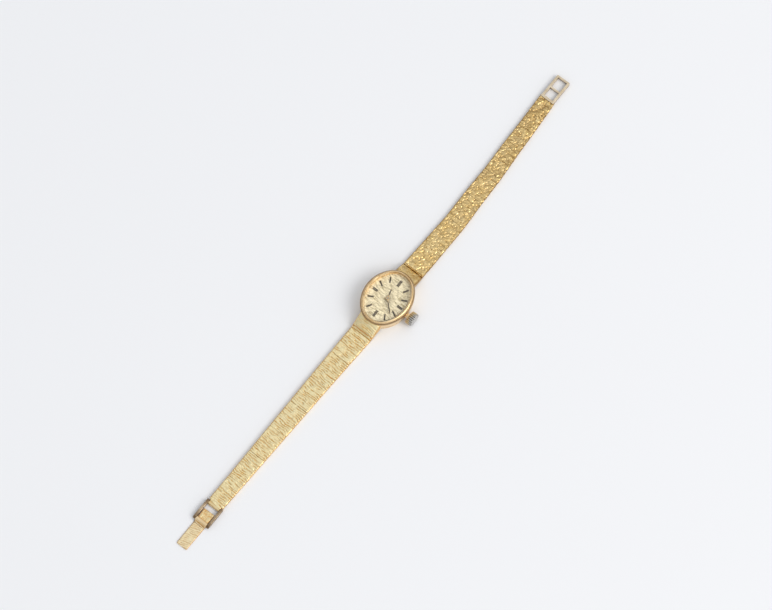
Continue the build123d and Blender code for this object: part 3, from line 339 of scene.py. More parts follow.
@dataclass
class Loft:
    """A piece drawn up ring by ring, each ring an oval or a round."""

    rings: Sequence[Ring]
    sides: int
    torus: bool = False

    def build(self) -> Piece:
        """Draw the rings up from the first, and close the ends or join them.

        Returns:
            The piece, in millimetres, centred on the Z axis.
        """
        first = self.rings[0]
        Bench.clear()
        bpy.ops.mesh.primitive_circle_add(vertices=self.sides, radius=1.0, fill_type="NOTHING")
        piece = bpy.context.object
        piece.data.transform(Matrix.Translation((0.0, 0.0, first.height)))
        Bench.edit(piece)
        bpy.ops.transform.resize(value=(first.half_width, first.half_length, 1.0), center_override=ORIGIN)
        for here, there in zip(self.rings, self.rings[1:]):
            rise = there.height - here.height
            bpy.ops.mesh.extrude_edges_move(TRANSFORM_OT_translate={"value": (0.0, 0.0, rise)})
            widening = (there.half_width / here.half_width, there.half_length / here.half_length, 1.0)
            bpy.ops.transform.resize(value=widening, center_override=ORIGIN)
        self._true_up(piece)
        self._close(piece)
        Bench.close()
        Bench.outward(piece)
        return piece

    def _true_up(self, piece: Piece) -> None:
        """Move each ring's points from its ellipse onto its oval.

        Args:
            piece: the mesh object, in edit mode.
        """
        for index, vertex in enumerate(bmesh.from_edit_mesh(piece.data).verts):
            ring = self.rings[index // self.sides]
            turn = atan2(vertex.co.y / ring.half_length, vertex.co.x / ring.half_width)
            vertex.co.x, vertex.co.y = OVAL.reach(ring.half_width, ring.half_length, turn)
        bmesh.update_edit_mesh(piece.data)

    def _close(self, piece: Piece) -> None:
        """Join the last ring to the first, or cap each end.

        Args:
            piece: the mesh object, in edit mode.
        """
        last = (len(self.rings) - 1) * self.sides
        ends = (lambda v: v.index < self.sides, lambda v: v.index >= last)
        bmesh.from_edit_mesh(piece.data).verts.index_update()
        if self.torus:
            Bench.pick_edges(piece, lambda e: any(all(map(end, e.verts)) for end in ends))
            bpy.ops.mesh.bridge_edge_loops()
            return
        for end in ends:
            Bench.pick_edges(piece, lambda e: all(map(end, e.verts)))
            bpy.ops.mesh.edge_face_add()


def tube(outer: float, inner: float, width: float, sides: int, place: Sequence[float]) -> Piece:
    """A tube across the bracelet with turned rims.

    Args:
        outer: its radius.
        inner: its bore's radius.
        width: its length across the bracelet.
        sides: how many facets it has.
        place: its middle.

    Returns:
        The tube, in millimetres.
    """
    half, rim = width / 2, 0.08
    levels = (
        (inner, -half), (outer - rim, -half), (outer, -half + rim),
        (outer, half - rim), (outer - rim, half), (inner, half),
    )
    piece = Loft(rounds(levels), sides, torus=True).build()
    Bench.lay(piece, place)
    return piece


@dataclass
class Sweep:
    """A side profile drawn from -1 to 1 across, in even steps."""

    profile: Sequence[Point]
    steps: int

    def build(self) -> Piece:
        """Draw the profile across.

        Returns:
            The piece: X across, Y along and Z up, in millimetres once it is widened.
        """
        Bench.clear()
        bpy.ops.mesh.primitive_circle_add(vertices=len(self.profile), radius=1.0, fill_type="NGON")
        piece = bpy.context.object
        for vertex, (along, height) in zip(piece.data.vertices, self.profile):
            vertex.co = (-1.0, along, height)
        Bench.edit(piece)
        bpy.ops.mesh.extrude_region_move(TRANSFORM_OT_translate={"value": (2.0, 0.0, 0.0)})
        Bench.pick_edges(piece, lambda e: abs(e.verts[0].co.x - e.verts[1].co.x) > 1.0)
        bpy.ops.mesh.subdivide(number_cuts=self.steps - 1)
        bpy.ops.mesh.select_all(action="SELECT")
        bpy.ops.mesh.normals_make_consistent(inside=False)
        Bench.close()
        return piece


class Board:
    """A node tree, with short ways to add nodes and to join them."""

    def __init__(self, tree: bpy.types.NodeTree) -> None:
        """Clear a tree to work on."""
        tree.nodes.clear()
        self.tree = tree

    def feed(self, node: bpy.types.Node, inputs: Feed) -> None:
        """Set a node's inputs.

        Args:
            node: the node.
            inputs: by each input's name or number, the output to join to it or the value it keeps.
        """
        for key, value in inputs.items():
            if isinstance(value, Socket):
                self.tree.links.new(value, node.inputs[key])
            else:
                node.inputs[key].default_value = value

    def add(self, kind: str, inputs: Feed | None = None, **settings: str) -> bpy.types.Node:
        """A new node of a kind, with its settings made and its inputs fed.

        Args:
            kind: the node's type.
            inputs: what feed takes, if any.
            settings: the node's own properties, by name.

        Returns:
            The node.
        """
        node = self.tree.nodes.new(kind)
        for name, value in settings.items():
            setattr(node, name, value)
        self.feed(node, inputs or {})
        return node

    def span(self, source: Socket, start: Point, end: Point) -> Socket:
        """A value carried from one range to another, held at its ends."""
        ends = zip(("From Min", "From Max", "To Min", "To Max"), (*start, *end))
        return self.add("ShaderNodeMapRange", {**dict(ends), "Value": source}).outputs[0]


class Nodes(Board):
    """A small drawing board for one material's node tree."""

    def __init__(self, name: str) -> None:
        """Start a material with a lone Principled shader on its output.

        Args:
            name: the material's name.
        """
        self.material = bpy.data.materials.new(name)
        self.material.use_nodes = True
        super().__init__(self.material.node_tree)
        self.shader = self.add("ShaderNodeBsdfPrincipled")
        self.output = self.add("ShaderNodeOutputMaterial", {"Surface": self.shader.outputs[0]})
        self.place = self.add("ShaderNodeTexCoord").outputs["Object"]
        self.place = self.stretched((1.0 / MM,) * 3)

    def stretched(self, scale: Sequence[float], turn: Sequence[float] = ORIGIN) -> Socket:
        """The place, scaled on each axis after a turn in radians."""
        inputs = {"Scale": scale, "Rotation": turn, "Vector": self.place}
        return self.add("ShaderNodeMapping", inputs).outputs[0]

    def noise(
        self,
        scale: float,
        detail: float = 3.0,
        rough: float = 0.5,
        stretch: Sequence[float] | None = None,
        turn: Sequence[float] = ORIGIN,
    ) -> Socket:
        """Cloudy noise from 0 to 1.

        Args:
            scale: how many features a millimetre has.
            detail: how many finer layers it has.
            rough: how strong these are.
            stretch: what the place is scaled by on each axis, if at all.
            turn: what it is turned by first, in radians.

        Returns:
            The noise.
        """
        place = self.stretched(stretch, turn) if stretch else self.place
        inputs = {"Scale": scale, "Detail": detail, "Roughness": rough, "Vector": place}
        return self.add("ShaderNodeTexNoise", inputs).outputs["Fac"]

    def combine(self, kind: str, first: Socket, second: Socket) -> Socket:
        """Two values put together by a named operation."""
        return self.add("ShaderNodeMath", {0: first, 1: second}, operation=kind).outputs[0]

    def tint(self, share: Socket, low: Colour | Socket, high: Colour | Socket) -> Socket:
        """A colour between two, by a share."""
        low, high = ((*end, 1.0) if isinstance(end, tuple) else end for end in (low, high))
        return self.add("ShaderNodeMix", {0: share, 6: low, 7: high}, data_type="RGBA").outputs[2]

    def axis(self, number: int) -> Socket:
        """The place on one axis, in millimetres."""
        return self.add("ShaderNodeSeparateXYZ", {0: self.place}).outputs[number]

    def furrow(self) -> Socket:
        """How far the mesh marks each point to be darkened; on the bracelet, the tongue and the clasp this
        is painted shade.
        """
        return self.add("ShaderNodeAttribute", attribute_name="furrow").outputs["Fac"]

    def coat(self, colour: Any, rough: Socket, metal: float | Socket = 1.0) -> None:
        """Give the shader its colour, fixed or from an output, its roughness and how metallic it is."""
        self.feed(self.shader, {"Base Color": colour, "Roughness": rough, "Metallic": metal})

    def relief(self, height: Socket, depth: float) -> None:
        """Give the shader a bump, its depth in millimetres."""
        bump = self.add("ShaderNodeBump", {"Strength": 1.0, "Distance": depth * MM, "Height": height})
        self.feed(self.shader, {"Normal": bump.outputs[0]})


@dataclass(frozen=True)
class Recipe:
    """A finish that can be mixed into a material of a name."""

    name: str

    def build(self) -> Finish:
        """Mix the finish.

        Returns:
            The material.
        """
        nodes = Nodes(self.name)
        self.mix(nodes)
        return nodes.material

    def mix(self, nodes: Nodes) -> None:
        """Lay out the material's nodes."""
        raise NotImplementedError


@dataclass(frozen=True)
class BarkGold(Recipe):
    """Gold with a bark grain: bright on the ridges, and darkened by painted shade in the furrows, on the
    edges and on the walls of its mesh.
    """

    light: Colour = (0.98, 0.75, 0.37)
    middle: Colour = (0.86, 0.60, 0.24)
    # The colour of the painted shade in the furrows, on the edges and on the walls.
    dark: Colour = (0.30, 0.16, 0.045)
    roughness: Point = (0.2, 0.36)
    grain: float = 0.05

    def mix(self, nodes: Nodes) -> None:
        """Lay painted shade, read from the marked furrows, edges and walls, over worn patches, with fibres
        across both.

        Args:
            nodes: the board of the material.
        """
        furrow = nodes.furrow()
        patches = nodes.noise(0.5, 4.0, 0.6)
        fibres = nodes.noise(3.0, 5.0, 0.65, (0.35, 1.4, 1.0))
        worn = nodes.tint(nodes.span(patches, MIDDLE, WHOLE), self.middle, self.light)
        # Painted shade: the marked value, roughened by the fibres, darkens the worn gold towards the dark
        # colour.
        depth = nodes.combine("ADD", furrow, nodes.span(fibres, MOST, (-0.12, 0.16)))
        colour = nodes.tint(nodes.span(depth, (0.1, 0.95), WHOLE), worn, self.dark)
        rough = nodes.span(fibres, MOST, self.roughness)
        nodes.coat(colour, nodes.combine("ADD", rough, nodes.span(furrow, (0.3, 1.0), (0.0, 0.25))))
        nodes.relief(fibres, self.grain)


@dataclass(frozen=True)
class PolishedGold(Recipe):
    """Polished gold plate with fine hairlines, handled patches and a slight warm drift."""

    light: Colour
    warm: Colour
    roughness: Point
    darkening: Colour = (0.16, 0.09, 0.04)
    hairline: float = 0.004

    def mix(self, nodes: Nodes) -> None:
        """Lay the marked darkening over the drifting plate, and hairlines over the handled patches.

        Args:
            nodes: the board of the material.
        """
        patches = nodes.noise(0.35, 4.0, 0.55)
        hairlines = nodes.noise(9.0, 3.0, 0.6, (0.15, 1.6, 0.6), (0.0, 0.0, 0.5))
        plate = nodes.tint(nodes.span(patches, MIDDLE, WHOLE), self.warm, self.light)
        # Darken where marked: painted shade on the clasp's frame, hinge pin, ladder and tongue shoulder;
        # on the bezel, the milled teeth and groove.
        colour = nodes.tint(nodes.span(nodes.furrow(), WHOLE, (0.0, 0.85)), plate, self.darkening)
        handled = nodes.combine("MULTIPLY", patches, hairlines)
        nodes.coat(colour, nodes.span(handled, (0.12, 0.42), self.roughness))
        nodes.relief(hairlines, self.hairline)


@dataclass(frozen=True)
class WornCrown(Recipe):
    """The crown's metal: its plating worn to silver at the outer end and gold near the case."""

    silver: Colour = (0.56, 0.54, 0.51)
    gold: Colour = (0.80, 0.58, 0.30)
    darkening: Colour = (0.10, 0.08, 0.05)
    wear: Point = (8.85, 9.4)

    def mix(self, nodes: Nodes) -> None:
        """Let the plating give way to silver with an uneven edge, darker in the flutes.

        Args:
            nodes: the board of the material.
        """
        patches = nodes.noise(0.9, 4.0, 0.6)
        reach = nodes.combine("ADD", nodes.axis(0), nodes.span(patches, MOST, (-0.5, 0.5)))
        plate = nodes.tint(nodes.span(reach, self.wear, WHOLE), self.gold, self.silver)
        colour = nodes.tint(nodes.span(nodes.furrow(), (0.1, 1.0), (0.0, 0.9)), plate, self.darkening)
        nodes.coat(colour, nodes.span(patches, MOST, (0.2, 0.38)))
        nodes.relief(nodes.noise(5.0, 4.0, 0.6), 0.012)


@dataclass(frozen=True)
class LinenDial(Recipe):
    """A champagne dial with irregular linen threads from side to side and pale specks."""

    pale: Colour = (1.0, 0.90, 0.66)
    deep: Colour = (0.44, 0.35, 0.18)
    speck: Colour = (0.97, 0.94, 0.82)
    thread_pitch: float = 0.26
    thread_contrast: Point = (0.38, 0.58)

    def mix(self, nodes: Nodes) -> None:
        """Lay threads one way and a weaker weft the other, then the specks.

        Args:
            nodes: the board of the material.
        """
        threads = nodes.noise(1.0, 3.0, 0.65, (0.5, 0.8 / self.thread_pitch, 0.0))
        weft = nodes.noise(1.0, 3.0, 0.6, (3.6, 1.4, 0.0))
        patches = nodes.noise(0.22, 3.0, 0.5)
        share = nodes.span(threads, self.thread_contrast, (0.1, 1.0))
        share = nodes.combine("ADD", share, nodes.span(weft, self.thread_contrast, (-0.35, 0.15)))
        share = nodes.combine("ADD", share, nodes.span(patches, MOST, (-0.08, 0.12)))
        cloth = nodes.tint(share, self.deep, self.pale)
        specks = nodes.noise(2.6, 2.0, 0.5, (0.7, 1.5, 0.0))
        colour = nodes.tint(nodes.span(specks, (0.66, 0.72), (0.0, 0.75)), cloth, self.speck)
        nodes.coat(colour, nodes.span(threads, MOST, (0.34, 0.5)), 0.35)
        nodes.relief(threads, 0.02)


@dataclass(frozen=True)
class BlackEnamel(Recipe):
    """Near-black brown lacquer with soft gloss and faint dust."""

    colour: Colour = (0.05, 0.036, 0.02)
    dusty: Colour = (0.12, 0.09, 0.055)

    def mix(self, nodes: Nodes) -> None:
        """Lay dust in patches over the lacquer.

        Args:
            nodes: the board of the material.
        """
        patches = nodes.noise(2.5, 4.0, 0.6)
        colour = nodes.tint(nodes.span(patches, (0.4, 0.75), WHOLE), self.colour, self.dusty)
        nodes.coat(colour, nodes.span(patches, MOST, (0.22, 0.4)), 0.0)
        nodes.relief(patches, 0.004)


@dataclass(frozen=True)
class PaintedHand(Recipe):
    """Rose gold with a dark line sunk along the middle."""

    top: float
    line_start: float
    gold: Colour = (0.74, 0.53, 0.29)
    line: Colour = (0.02, 0.012, 0.008)

    def mix(self, nodes: Nodes) -> None:
        """Turn the gold dark just below the hand's top face, and outwards along its blade.

        Args:
            nodes: the board of the material.
        """
        patches = nodes.noise(1.5, 4.0, 0.6)
        flat = nodes.stretched((1.0, 1.0, 0.0))
        reach = nodes.add("ShaderNodeVectorMath", {0: flat}, operation="LENGTH").outputs["Value"]
        groove = nodes.span(nodes.axis(2), (self.top - 0.036, self.top - 0.018), FALLING)
        blade = nodes.span(reach, (self.line_start, self.line_start + 0.15), (0.0, 0.85))
        sunk = nodes.combine("MAXIMUM", groove, blade)
        shaded = tuple(part * 0.8 for part in self.gold)
        lit = nodes.tint(nodes.span(patches, MOST, WHOLE), self.gold, shaded)
        rough = nodes.span(patches, MOST, (0.16, 0.3))
        nodes.coat(nodes.tint(sunk, lit, self.line), rough, nodes.span(sunk, WHOLE, FALLING))
        nodes.relief(patches, 0.003)


@dataclass(frozen=True)
class ClearCrystal(Recipe):
    """Clear acrylic that lets the light through to the dial, with a few hair scratches."""

    colour: Colour = (1.0, 0.995, 0.97)

    def mix(self, nodes: Nodes) -> None:
        """Make the shader clear, and leave it out of the shadows.

        Args:
            nodes: the board of the material.
        """
        scratches = nodes.noise(6.0, 3.0, 0.7, (0.1, 2.0, 1.0), (0.0, 0.0, 0.7))
        gloss = nodes.span(scratches, (0.6, 0.8), (0.0, 0.05))
        nodes.coat((*self.colour, 1.0), gloss, 0.0)
        nodes.feed(nodes.shader, {"Transmission Weight": 1.0, "IOR": 1.3})
        nodes.relief(scratches, 0.0006)
        shadow = nodes.add("ShaderNodeLightPath").outputs["Is Shadow Ray"]
        through = nodes.add("ShaderNodeBsdfTransparent").outputs[0]
        mix = nodes.add("ShaderNodeMixShader", {0: shadow, 1: nodes.shader.outputs[0], 2: through})
        nodes.feed(nodes.output, {"Surface": mix.outputs[0]})


@dataclass(frozen=True)
class WorkedMetal(Recipe):
    """A movement's metal, with a worked grain, a colour drift and uneven gloss."""

    light: Colour
    dark: Colour
    roughness: Point = (0.2, 0.34)

    def mix(self, nodes: Nodes) -> None:
        """Lay the grain over the drift.

        Args:
            nodes: the board of the material.
        """
        patches = nodes.noise(0.8, 4.0, 0.6)
        grain = nodes.noise(4.0, 4.0, 0.6, (1.0, 0.12, 1.0))
        drift = nodes.span(patches, MOST, (0.4, 1.0))
        share = nodes.combine("MULTIPLY", drift, nodes.span(grain, MOST, (0.6, 1.0)))
        nodes.coat(nodes.tint(share, self.dark, self.light), nodes.span(grain, MOST, self.roughness))
        nodes.relief(grain, 0.006)


@dataclass(frozen=True)
class Ruby(Recipe):
    """Red bearing jewel, clear and glossy."""

    colour: Colour = (0.62, 0.02, 0.07)
    cloudy: Colour = (0.75, 0.10, 0.16)

    def mix(self, nodes: Nodes) -> None:
        """Lay clouds in the red, under a gloss coat.

        Args:
            nodes: the board of the material.
        """
        clouds = nodes.noise(3.0, 3.0, 0.5)
        colour = nodes.tint(nodes.span(clouds, (0.35, 0.7), WHOLE), self.colour, self.cloudy)
        nodes.coat(colour, nodes.span(clouds, MOST, (0.04, 0.12)), 0.0)
        nodes.feed(nodes.shader, {"Coat Weight": 0.6})
        nodes.relief(clouds, 0.002)


@dataclass(frozen=True)
class PaleTable(Recipe):
    """The plain pale table top, with the faintest unevenness."""

    colour: Colour = (0.90, 0.90, 0.91)

    def mix(self, nodes: Nodes) -> None:
        """Lay wide clouds over the plain colour.

        Args:
            nodes: the board of the material.
        """
        clouds = nodes.noise(0.01, 3.0, 0.5)
        colour = nodes.tint(clouds, tuple(part * 0.99 for part in self.colour), self.colour)
        nodes.coat(colour, nodes.span(clouds, MOST, (0.75, 0.85)), 0.0)
        nodes.feed(nodes.shader, {"Specular IOR Level": 0.1})


@dataclass(frozen=True)
class Bark:
    """The relief of the bracelet's woven bark finish, worked out from the place on the bracelet."""

    weave: Weave
    depth: float
    shade: float = 0.5
    flake_lift: float = 0.55
    flake_tilt: float = 1.9
    flake_rim: float = 0.42
    rim_width: float = 0.22
    grain_turn: float = 32.0
    strand_pitch: float = 0.7
    strand_half: float = 0.34
    strand_bends: tuple[float, float, float] = (0.06, 0.5, 0.26)
    slant: Point = (0.3, 0.35)

    def height(self, across: float, along: float) -> float:
        """How high the bark stands at a place.

        Args:
            across: millimetres from the dial's centre line.
            along: millimetres from the dial's centre, along the bracelet.

        Returns:
            A height from -1 in the furrows to 0 on the ridges.
        """
        if self.weave is Weave.CRUMPLED:
            return self._crumpled(across, along)
        if self.weave is Weave.SLANTED:
            return self._wavy(across + along * self.slant[0], along - across * self.slant[1])
        return self._wavy(across, along)

    def _flakes(self, across: float, along: float, seed: float) -> float:
        """Overlapping flakes with crisp edges, each with its own height and tilt.

        Args:
            across: the place across, in flakes.
            along: the place along, in flakes.
            seed: what tells one layer of flakes from another.

        Returns:
            The layer's height, below 0 at the flakes' rims.
        """
        place = Vector((across, along, seed))
        distances, points = noise.voronoi(place)
        near = points[0]
        lift = noise.noise(near * 5.3)
        lean = Vector((noise.noise(near * 3.1), noise.noise(near * 4.7 + Vector((9.0, 2.0, 5.0)))))
        slope = (place.x - near.x) * lean.x + (place.y - near.y) * lean.y
        inner = ease(distances[1] - distances[0], 0.0, self.rim_width)
        return self.flake_lift * lift + self.flake_tilt * slope - self.flake_rim * (1.0 - inner)

    def _crumpled(self, across: float, along: float) -> float:
        """Broken diagonal folds and nuggets.

        Args:
            across: millimetres from the dial's centre line.
            along: millimetres from the dial's centre, along the bracelet.

        Returns:
            A height from -1 in the furrows to 0 on the ridges.
        """
        bend = 0.5 * wander(across, along, (0.4, 0.4), 4.1)
        turn = radians(self.grain_turn)
        run = across * cos(turn) + along * sin(turn)
        climb = along * cos(turn) - across * sin(turn)
        coarse = self._flakes(run * 0.64 + bend, climb * 1.24 + bend, 1.7)
        fine = self._flakes(run * 1.4, climb * 2.4, 6.2)
        return -clamp(0.42 - 0.66 * coarse - 0.3 * fine)

    def _wavy(self, across: float, along: float) -> float:
        """Fine cross strands, a little slanted, that break and run on.

        Args:
            across: millimetres from the dial's centre line.
            along: millimetres from the dial's centre, along the bracelet.

        Returns:
            A height from -1 in the furrows to 0 on the ridges.
        """
        slow = wander(across, along, (0.22, 0.6), 9.2)
        quick = wander(across, along, (1.1, 1.2), 4.6)
        lean, sway, jitter = self.strand_bends
        phase = (along / self.strand_pitch + lean * across + sway * slow + jitter * quick) % 1.0
        furrow = 1.0 - ease(abs(phase - 0.5), 0.0, self.strand_half)
        broken = clamp(0.7 + 1.1 * wander(across, along, (0.7, 1.1), 2.7))
        fine = self._flakes(across * 0.9, along * 2.6, 2.4)
        return -clamp(0.08 + 0.9 * furrow * broken - 0.2 * fine)


@dataclass(frozen=True)
class Band:
    """One half of the bracelet: its side, its length, its drift on the table and its bark."""

    word: str
    side: int
    length: float
    drifts: Sequence[float]
    bark: Bark
    cap_bark: Bark
    far_shade: float


UPPER = Band(
    "upper", 1, 66.1, (0.0, 0.272, 0.48, 0.08, -0.064, -0.64, -1.04, -1.6),
    Bark(Weave.CRUMPLED, 0.27, 0.42), Bark(Weave.CRUMPLED, 0.26), 0.34,
)
LOWER = Band(
    "lower", -1, 66.2, (0.0, -0.22, -0.385, -0.528, -0.66, -0.77, -0.902, -1.1),
    Bark(Weave.WAVY, 0.22, 0.66), Bark(Weave.WAVY, 0.26), 0.0,
)


@dataclass
class Bracelet:
    """The woven mesh: fourteen hinged lengths and the two end pieces brazed to the case."""

    seam: float = 12.85
    width_at_case: float = 7.05
    width_at_end: float = 5.0
    lengths: int = 7
    rows: int = 6
    row_points: int = 16
    thickness: float = 1.25
    hinge_height: float = 0.62
    bead_radius: float = 0.34
    hollow_radius: float = 0.39
    roof: float = 1.05
    neck_half_height: float = 0.17
    wall_reach: float = 0.22
    gap: float = 0.14
    lip: float = 0.065
    lip_depth: float = 0.3
    row_gap: float = 0.03
    row_sag: float = 0.02
    groove_depth: float = 0.06
    under_groove: float = 0.26
    foot_inset: float = 0.12
    foot_rise: float = 0.02
    side_notch: float = 0.07
    notch_reach: Point = (0.04, 0.34)
    sway: float = 0.3
    under_wear: float = 0.03
    edge_start: float = 0.9
    bar_width: float = 4.0
    ear_space: float = 0.927
    bar_radius: float = 0.6
    bar_bore: float = 0.27
    bar_neck: float = 0.42
    bar_height: float = 0.66
    cap_root: float = 9.0
    cap_half_width: float = 3.6
    cap_root_height: float = 4.36
    cap_tip_height: float = 1.5
    cap_swell: float = 0.55
    cap_points: int = 28
    cap_wall: Point = (0.8, 2.5)
    cap_tip_bottom: float = 0.14
    cap_belly: float = 0.45
    cap_edge_drop: float = 0.25
    cap_step_drop: float = 0.2
    tip_inset: float = 0.42
    rib_length: float = 0.4
    # Painted shade: how dark the side edges are, and, two fields down, how dark the walls and underside
    # are.
    painted_edge_shade: float = 0.55
    edge_fall: float = 0.14
    painted_wall_shade: float = 0.35
    case_half_width: float = 7.31
    case_half_length: float = 9.01
    steps: int = 56

    def half_width(self, share: float) -> float:
        """Half the bracelet's width at a share of its length from the case."""
        return blend(self.width_at_case, self.width_at_end, share) / 2

    def arc(self, centre: Point, radius: float, start: float, end: float, count: int) -> list[Point]:
        """Points along an arc, its angles in degrees from the outward direction."""
        angles = [radians(start + (end - start) * number / (count - 1)) for number in range(count)]
        return [(centre[0] + radius * cos(a), centre[1] + radius * sin(a)) for a in angles]

    def bead(self, foot: float, centre: Point, radius: float, neck: float) -> list[Point]:
        """A round end on a neck.

        Args:
            foot: where along the length the neck starts.
            centre: the round's centre.
            radius: the round's radius.
            neck: half the neck's height.

        Returns:
            The points in order, from the neck's top round to its bottom.
        """
        reach = degrees(atan2(neck, -sqrt(radius**2 - neck**2)))
        round_end = self.arc(centre, radius, reach, -reach, 19)
        return [(foot, centre[1] + neck), *round_end, (foot, centre[1] - neck)]

    def row_top(self, start: float, end: float, first: bool, last: bool) -> list[Point]:
        """The top of one row, from the foot of one groove to the foot of the next.

        Args:
            start: where the row starts along the length.
            end: where it ends.
            first: whether no groove comes before it.
            last: whether no groove comes after it.

        Returns:
            The points in order.
        """
        top = self.thickness
        near = start if first else start + self.row_gap / 2
        far = end + self.lip if last else end - self.row_gap / 2
        points = [] if first else [(start, top - self.groove_depth)]
        for number in range(self.row_points):
            share = number / (self.row_points - 1)
            points.append((near + (far - near) * share, top - self.row_sag * abs(2 * share - 1) ** 4))
        if last:
            points.append((end, top - self.lip_depth))
        return points

    def length_profile(self, pitch: float, bar: bool) -> list[Point]:
        """The side profile of one hinged length, its hinge at (0, hinge_height).

        Args:
            pitch: the distance to the next hinge.
            bar: whether its outer end carries the clasp's bar in place of a bead.

        Returns:
            The points in order: the hollow, the top, the outer end and the bottom.
        """
        outer = pitch - self.wall_reach - self.gap
        start = -self.wall_reach
        row = (outer - start) / self.rows
        mouth = degrees(atan2(sqrt(self.hollow_radius**2 - start**2), start))
        points = self.arc((0.0, self.hinge_height), self.hollow_radius, -mouth, mouth, 15)
        for number in range(self.rows):
            first, last = number == 0, number == self.rows - 1
            points += self.row_top(start + row * number, start + row * (number + 1), first, last)
        if bar:
            points += self.bead(outer, (pitch, self.bar_height), self.bar_radius - 0.02, self.bar_neck)
        else:
            points += self.bead(outer, (pitch, self.hinge_height), self.bead_radius, self.neck_half_height)
        for number in range(self.rows, 0, -1):
            near, far = start + row * (number - 1), start + row * number
            points += [(far - self.foot_inset, self.foot_rise), ((near + far) / 2, 0.0)]
            points.append((near + self.foot_inset, self.foot_rise))
            if number > 1:
                points.append((near, self.under_groove))
        return points

    def weave_length(self, band: Band, number: int) -> Piece:
        """One hinged length of mesh.

        Args:
            band: the half of the bracelet that it belongs to.
            number: its place from the case, from 0.

        Returns:
            The mesh object, in millimetres.
        """
        pitch = band.length / self.lengths
        hinge = self.seam + pitch * number
        bar = band.side < 0 and number == self.lengths - 1
        piece = Sweep(self.length_profile(pitch, bar), self.steps).build()
        outer = pitch - self.wall_reach - self.gap
        row = (outer + self.wall_reach) / self.rows
        middle = self.hinge_height
        dark_marks = []
        for vertex in piece.data.vertices:
            lean, along, height = vertex.co
            share = along / pitch
            place = hinge + along
            to_groove = abs((along + self.wall_reach + row / 2) % row - row / 2)
            half = self.half_width((number + share) / self.lengths)
            if bar and along > pitch - self.ear_space:
                half = self.bar_width / 2
            near_groove = 1.0 - ease(to_groove, *self.notch_reach)
            notch = self.side_notch * ease(abs(lean), 0.8, 1.0) * near_groove
            across = blend(band.drifts[number], band.drifts[number + 1], share) + lean * (half - notch)
            inside = ease(along, 0.5, 1.3) * ease(outer - along, 0.1, 0.7)
            sway = self.sway * inside * wander(across, place, (0.45, 0.5), 3.3 * band.side)
            edge = ease(abs(lean), self.edge_start, 1.0)
            raw = band.bark.height(across, place * band.side)
            topside = ease(height, self.roof - 0.02, self.roof + 0.08)
            under = self.under_wear * wander(across, place, (1.2, 1.6), 8.8) * ease(0.2 - height, 0.0, 0.2)
            level = height + raw * band.bark.depth * topside + abs(under)
            if topside > 0.5 and along < self.hollow_radius + 0.1:
                level = max(level, self.roof)
            if -self.wall_reach - 0.01 <= along <= outer + 0.01:
                reach = ease(abs(level - middle), 0.36, 0.55)
                level = middle + (level - middle) * (1.0 - self.edge_fall * edge * reach)
            vertex.co = (across, band.side * (place + sway), level)
            # Painted shade: darker in the bark's furrows, more so towards the upper band's far end, on the
            # side edges, and on the walls and underside.
            shade = band.bark.shade + band.far_shade * (number + share) / self.lengths
            furrow = (self.painted_edge_shade * edge - shade * raw) * topside + self.painted_wall_shade * (1.0 - topside)
            dark_marks.append(clamp(furrow))
        Bench.mark(piece, dark_marks)
        Bench.outward(piece)
        return piece

    def cap_top(self, share: float) -> float:
        """How high an end piece's top stands at a share of its length."""
        slope = blend(self.cap_root_height, self.cap_tip_height, share)
        return slope + self.cap_swell * share * (1.0 - share)

    def end_piece(self, band: Band) -> Piece:
        """The tapered end piece that is brazed to the case and carries the first hinge's bead.

        Args:
            band: the half of the bracelet that it belongs to.

        Returns:
            The mesh object, in millimetres.
        """
        root, tip = self.cap_root, self.seam - self.tip_inset
        length, rib_start = tip - root, tip - self.rib_length
        places = [root + length * number / self.cap_points for number in range(self.cap_points + 1)]
        points = [(root, height) for height in self.cap_wall]
        points += [(along, self.cap_top((along - root) / length)) for along in places]
        points += self.bead(tip, (self.seam, self.hinge_height), self.bead_radius, self.neck_half_height)
        points += [(tip, self.cap_tip_bottom), ((tip + root) / 2, self.cap_belly)]
        piece = Sweep(points, self.steps).build()
        bark = band.cap_bark
        dark_marks = []
        for vertex in piece.data.vertices:
            lean, along, height = vertex.co
            share = clamp((along - root) / length)
            across = lean * blend(self.cap_half_width, self.half_width(0), share)
            inner = OVAL.edge_at(self.case_half_width, self.case_half_length, across)
            place = along if along > tip - 0.001 else tip - (tip - along) * (tip - inner) / length
            topside = ease(height - self.cap_top(share), -0.05, 0.0) * (along <= tip + 0.001)
            rib = ease(place, rib_start - 0.06, rib_start)
            step = ease(place, rib_start - 0.4, rib_start - 0.12) * (1.0 - rib)
            raw = bark.height(across, place * band.side * 1.3) * (1.0 - rib)
            edge = ease(abs(lean), self.edge_start, 1.0)
            drop = topside * (raw * bark.depth - self.cap_edge_drop * edge - self.cap_step_drop * step)
            vertex.co = (across, band.side * place, height + drop)
            # Painted shade: darker on the side edges, in the step before the rib and in the bark's
            # furrows, and half dark on the sides and underside.
            darkening = self.painted_edge_shade * edge + step - bark.shade * raw * (1.0 - step)
            dark_marks.append(clamp(darkening * topside + 0.5 * (1.0 - topside)))
        Bench.mark(piece, dark_marks)
        Bench.outward(piece)
        return piece

    def dress(self, finishes: Finishes) -> None:
        """Build every length, bring it to the CAD's place and give it its finish.

        Args:
            finishes: the watch's materials by name.
        """
        settle = Bench.settle
        for band in (UPPER, LOWER):
            word, finish = band.word, finishes[f"{band.word}_bark"]
            cap = self.end_piece(band)
            settle(cap, f"{word}_end_cap", finish, "case", "gold_mesh", (f"{word}_end_piece",), angle=60.0)
            for number in range(self.lengths):
                node = f"{word}_mesh_{number + 1}"
                piece = self.weave_length(band, number)
                settle(piece, f"{node}_weave", finish, node, "gold_mesh", (node,), angle=60.0)
        place = (LOWER.drifts[-1], -(self.seam + LOWER.length), self.bar_height)
        bar = tube(self.bar_radius, self.bar_bore, self.bar_width, 48, place)
        settle(bar, "lower_end_bar", finishes["bar_gold"], f"lower_mesh_{self.lengths}", "gold_mesh")


